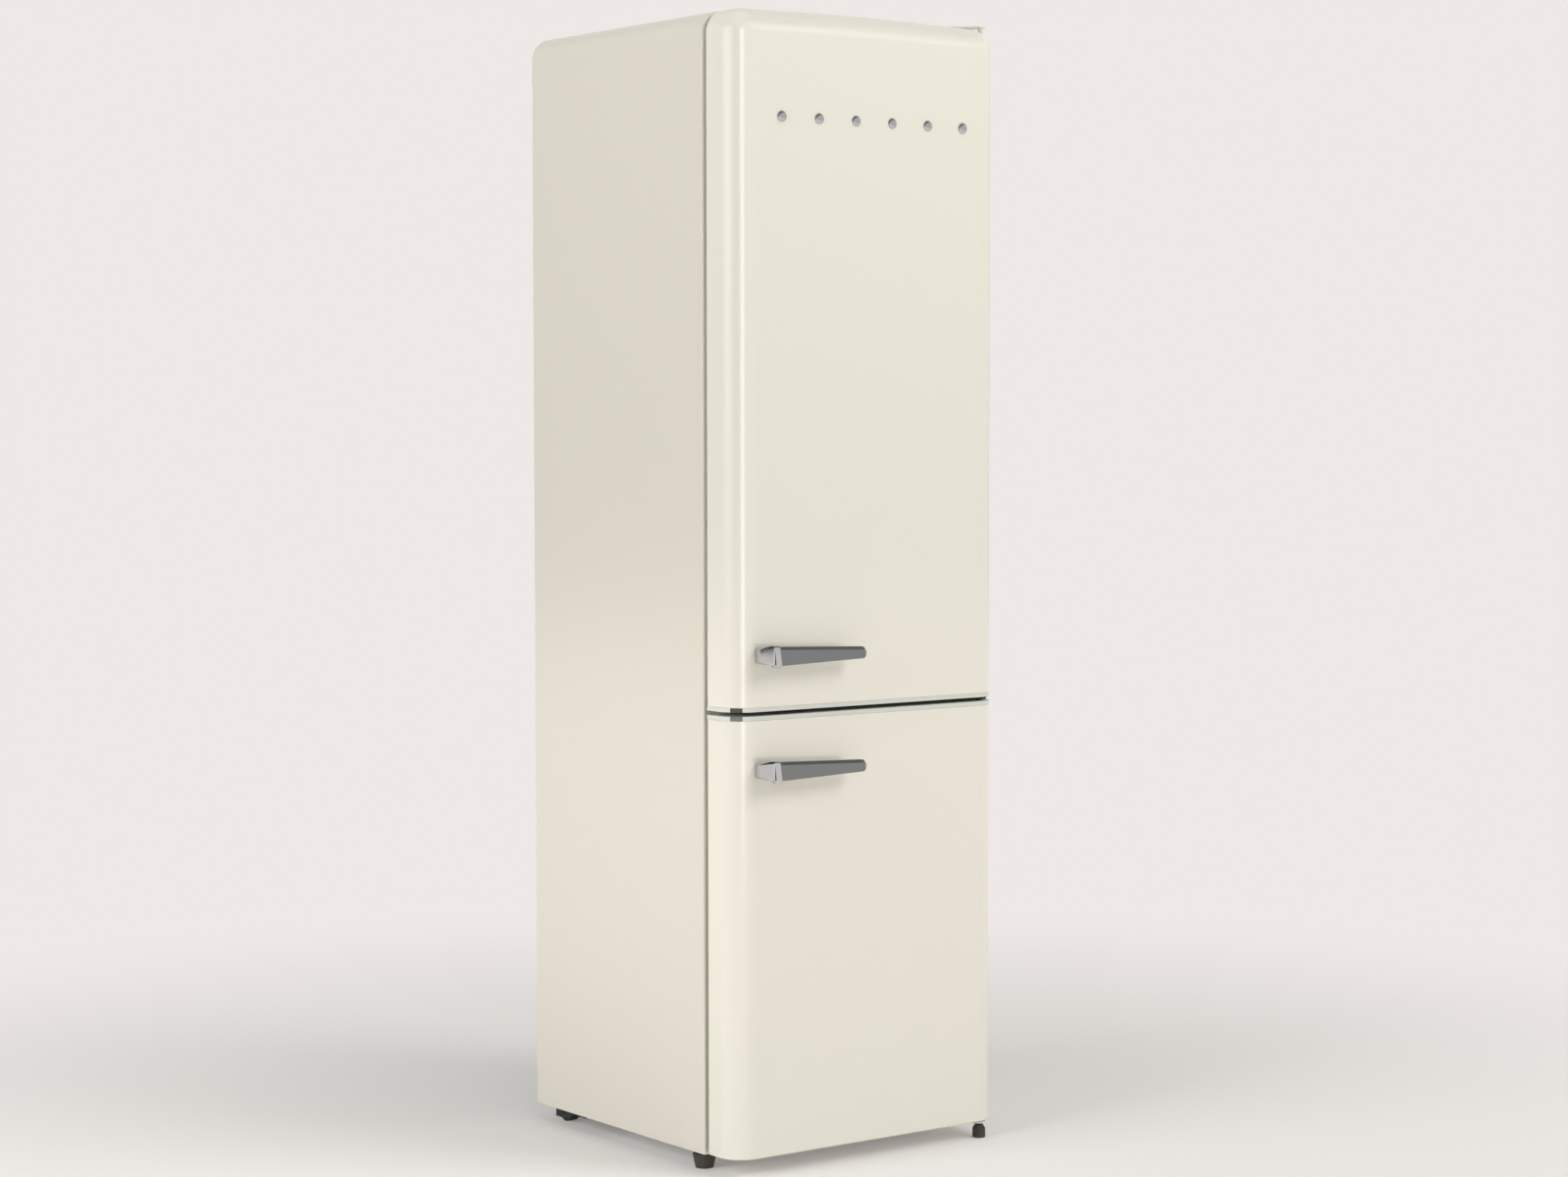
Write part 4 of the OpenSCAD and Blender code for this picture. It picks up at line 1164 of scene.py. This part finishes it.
def world_ramp(tree, source, stops):
    """A grey ramp over one axis of the room, from -1 to 1."""
    side = new_node(tree, "ShaderNodeMapRange")
    side.inputs["From Min"].default_value = -1.0
    side.inputs["From Max"].default_value = 1.0
    tree.links.new(source, side.inputs["Value"])
    ramp = new_node(tree, "ShaderNodeValToRGB")
    elements = ramp.color_ramp.elements
    while len(elements) < len(stops):
        elements.new(0.5)
    for element, (position, level) in zip(elements, stops):
        element.position = position
        element.color = (level, level, level * 0.985, 1.0)
    tree.links.new(side.outputs["Result"], ramp.inputs["Fac"])
    return ramp.outputs["Color"]


def room_light():
    """Soft room light: bright ahead, dim to the left and overhead."""
    world = bpy.data.worlds.new("room")
    bpy.context.scene.world = world
    world.use_nodes = True
    tree = world.node_tree
    back = tree.nodes["Background"]
    coords = new_node(tree, "ShaderNodeTexCoord")
    parts = new_node(tree, "ShaderNodeSeparateXYZ")
    tree.links.new(coords.outputs["Generated"], parts.inputs["Vector"])
    across = world_ramp(tree, parts.outputs["X"], [(0.0, 0.12), (0.16, 0.2), (0.36, 0.6), (0.6, 1.0)])
    upward = world_ramp(tree, parts.outputs["Z"], [(0.0, 1.0), (0.7, 1.0), (0.88, 0.2), (1.0, 0.12)])
    both = new_node(tree, "ShaderNodeVectorMath", operation="MULTIPLY")
    tree.links.new(across, both.inputs[0])
    tree.links.new(upward, both.inputs[1])
    tree.links.new(both.outputs["Vector"], back.inputs["Color"])
    back.inputs["Strength"].default_value = 0.62


def area_light(name, spot, aim, size, power, glossy):
    data = bpy.data.lights.new(name, "AREA")
    data.shape = "RECTANGLE"
    data.size, data.size_y = size
    data.energy = power
    data.color = (1.0, 0.997, 0.985)
    lamp_obj = link(bpy.data.objects.new(name, data))
    lamp_obj.location = spot
    lamp_obj.rotation_euler = (Vector(aim) - Vector(spot)).to_track_quat("-Z", "Y").to_euler()
    lamp_obj.visible_glossy = glossy
    lamp_obj.visible_camera = False


def lights():
    area_light("key", (2.4, -4.2, 4.2), (0, 0, 1.4), (2.4, 2.4), 166, False)
    area_light("side", (-4.2, -0.3, 2.2), (0, 0, 1.2), (2.6, 2.6), 155, False)
    area_light("top", (0, -0.4, 4.6), (0, 0, 0), (3.0, 3.0), 60, False)
    area_light("panel", (-1.92, -3.88, 1.5), (-0.25, -0.25, 1.1), (1.1, 2.8), 8, True)


def camera():
    data = bpy.data.cameras.new("camera")
    data.sensor_width = 36
    data.lens = 75.04
    data.shift_x = -0.0444
    data.clip_end = 100
    obj = link(bpy.data.objects.new("camera", data))
    obj.location = (-3.2714, -4.5410, 1.2316)
    obj.rotation_euler = (math.pi / 2 - 0.053, 0, -0.6505)
    bpy.context.scene.camera = obj
    bpy.context.scene.view_settings.view_transform = "Standard"


# ---- Put together ----

camera()
plain_floor()
plain_backdrop()
room_light()
lights()

cabinet_shell()
back_panel()
liners()
plain_cabinet_nodes()
screws()
lamp()
condenser()
compressor()
mounts()
copper_lines()

upper_door()
lower_door()
gasket("upper_door_gasket")
gasket("lower_door_gasket")
balcony("balcony_top")
balcony("balcony_middle")
balcony("balcony_bottles")
studs()
handle_arm("upper_handle_base")
handle_arm("lower_handle_base")
handle_blade("upper_handle_blade")
handle_blade("lower_handle_blade")

drawer("crisper_drawer", 3)
drawer("freezer_drawer_top", 3)
drawer("freezer_drawer_middle", 3)
drawer("freezer_drawer_bottom", 3)
knob()
feet()
rollers()

cabinet_foam = NODES["foam_insulation"]
cabinet_foam.data.materials.clear()
cabinet_foam.data.materials.append(finish_of("foam"))
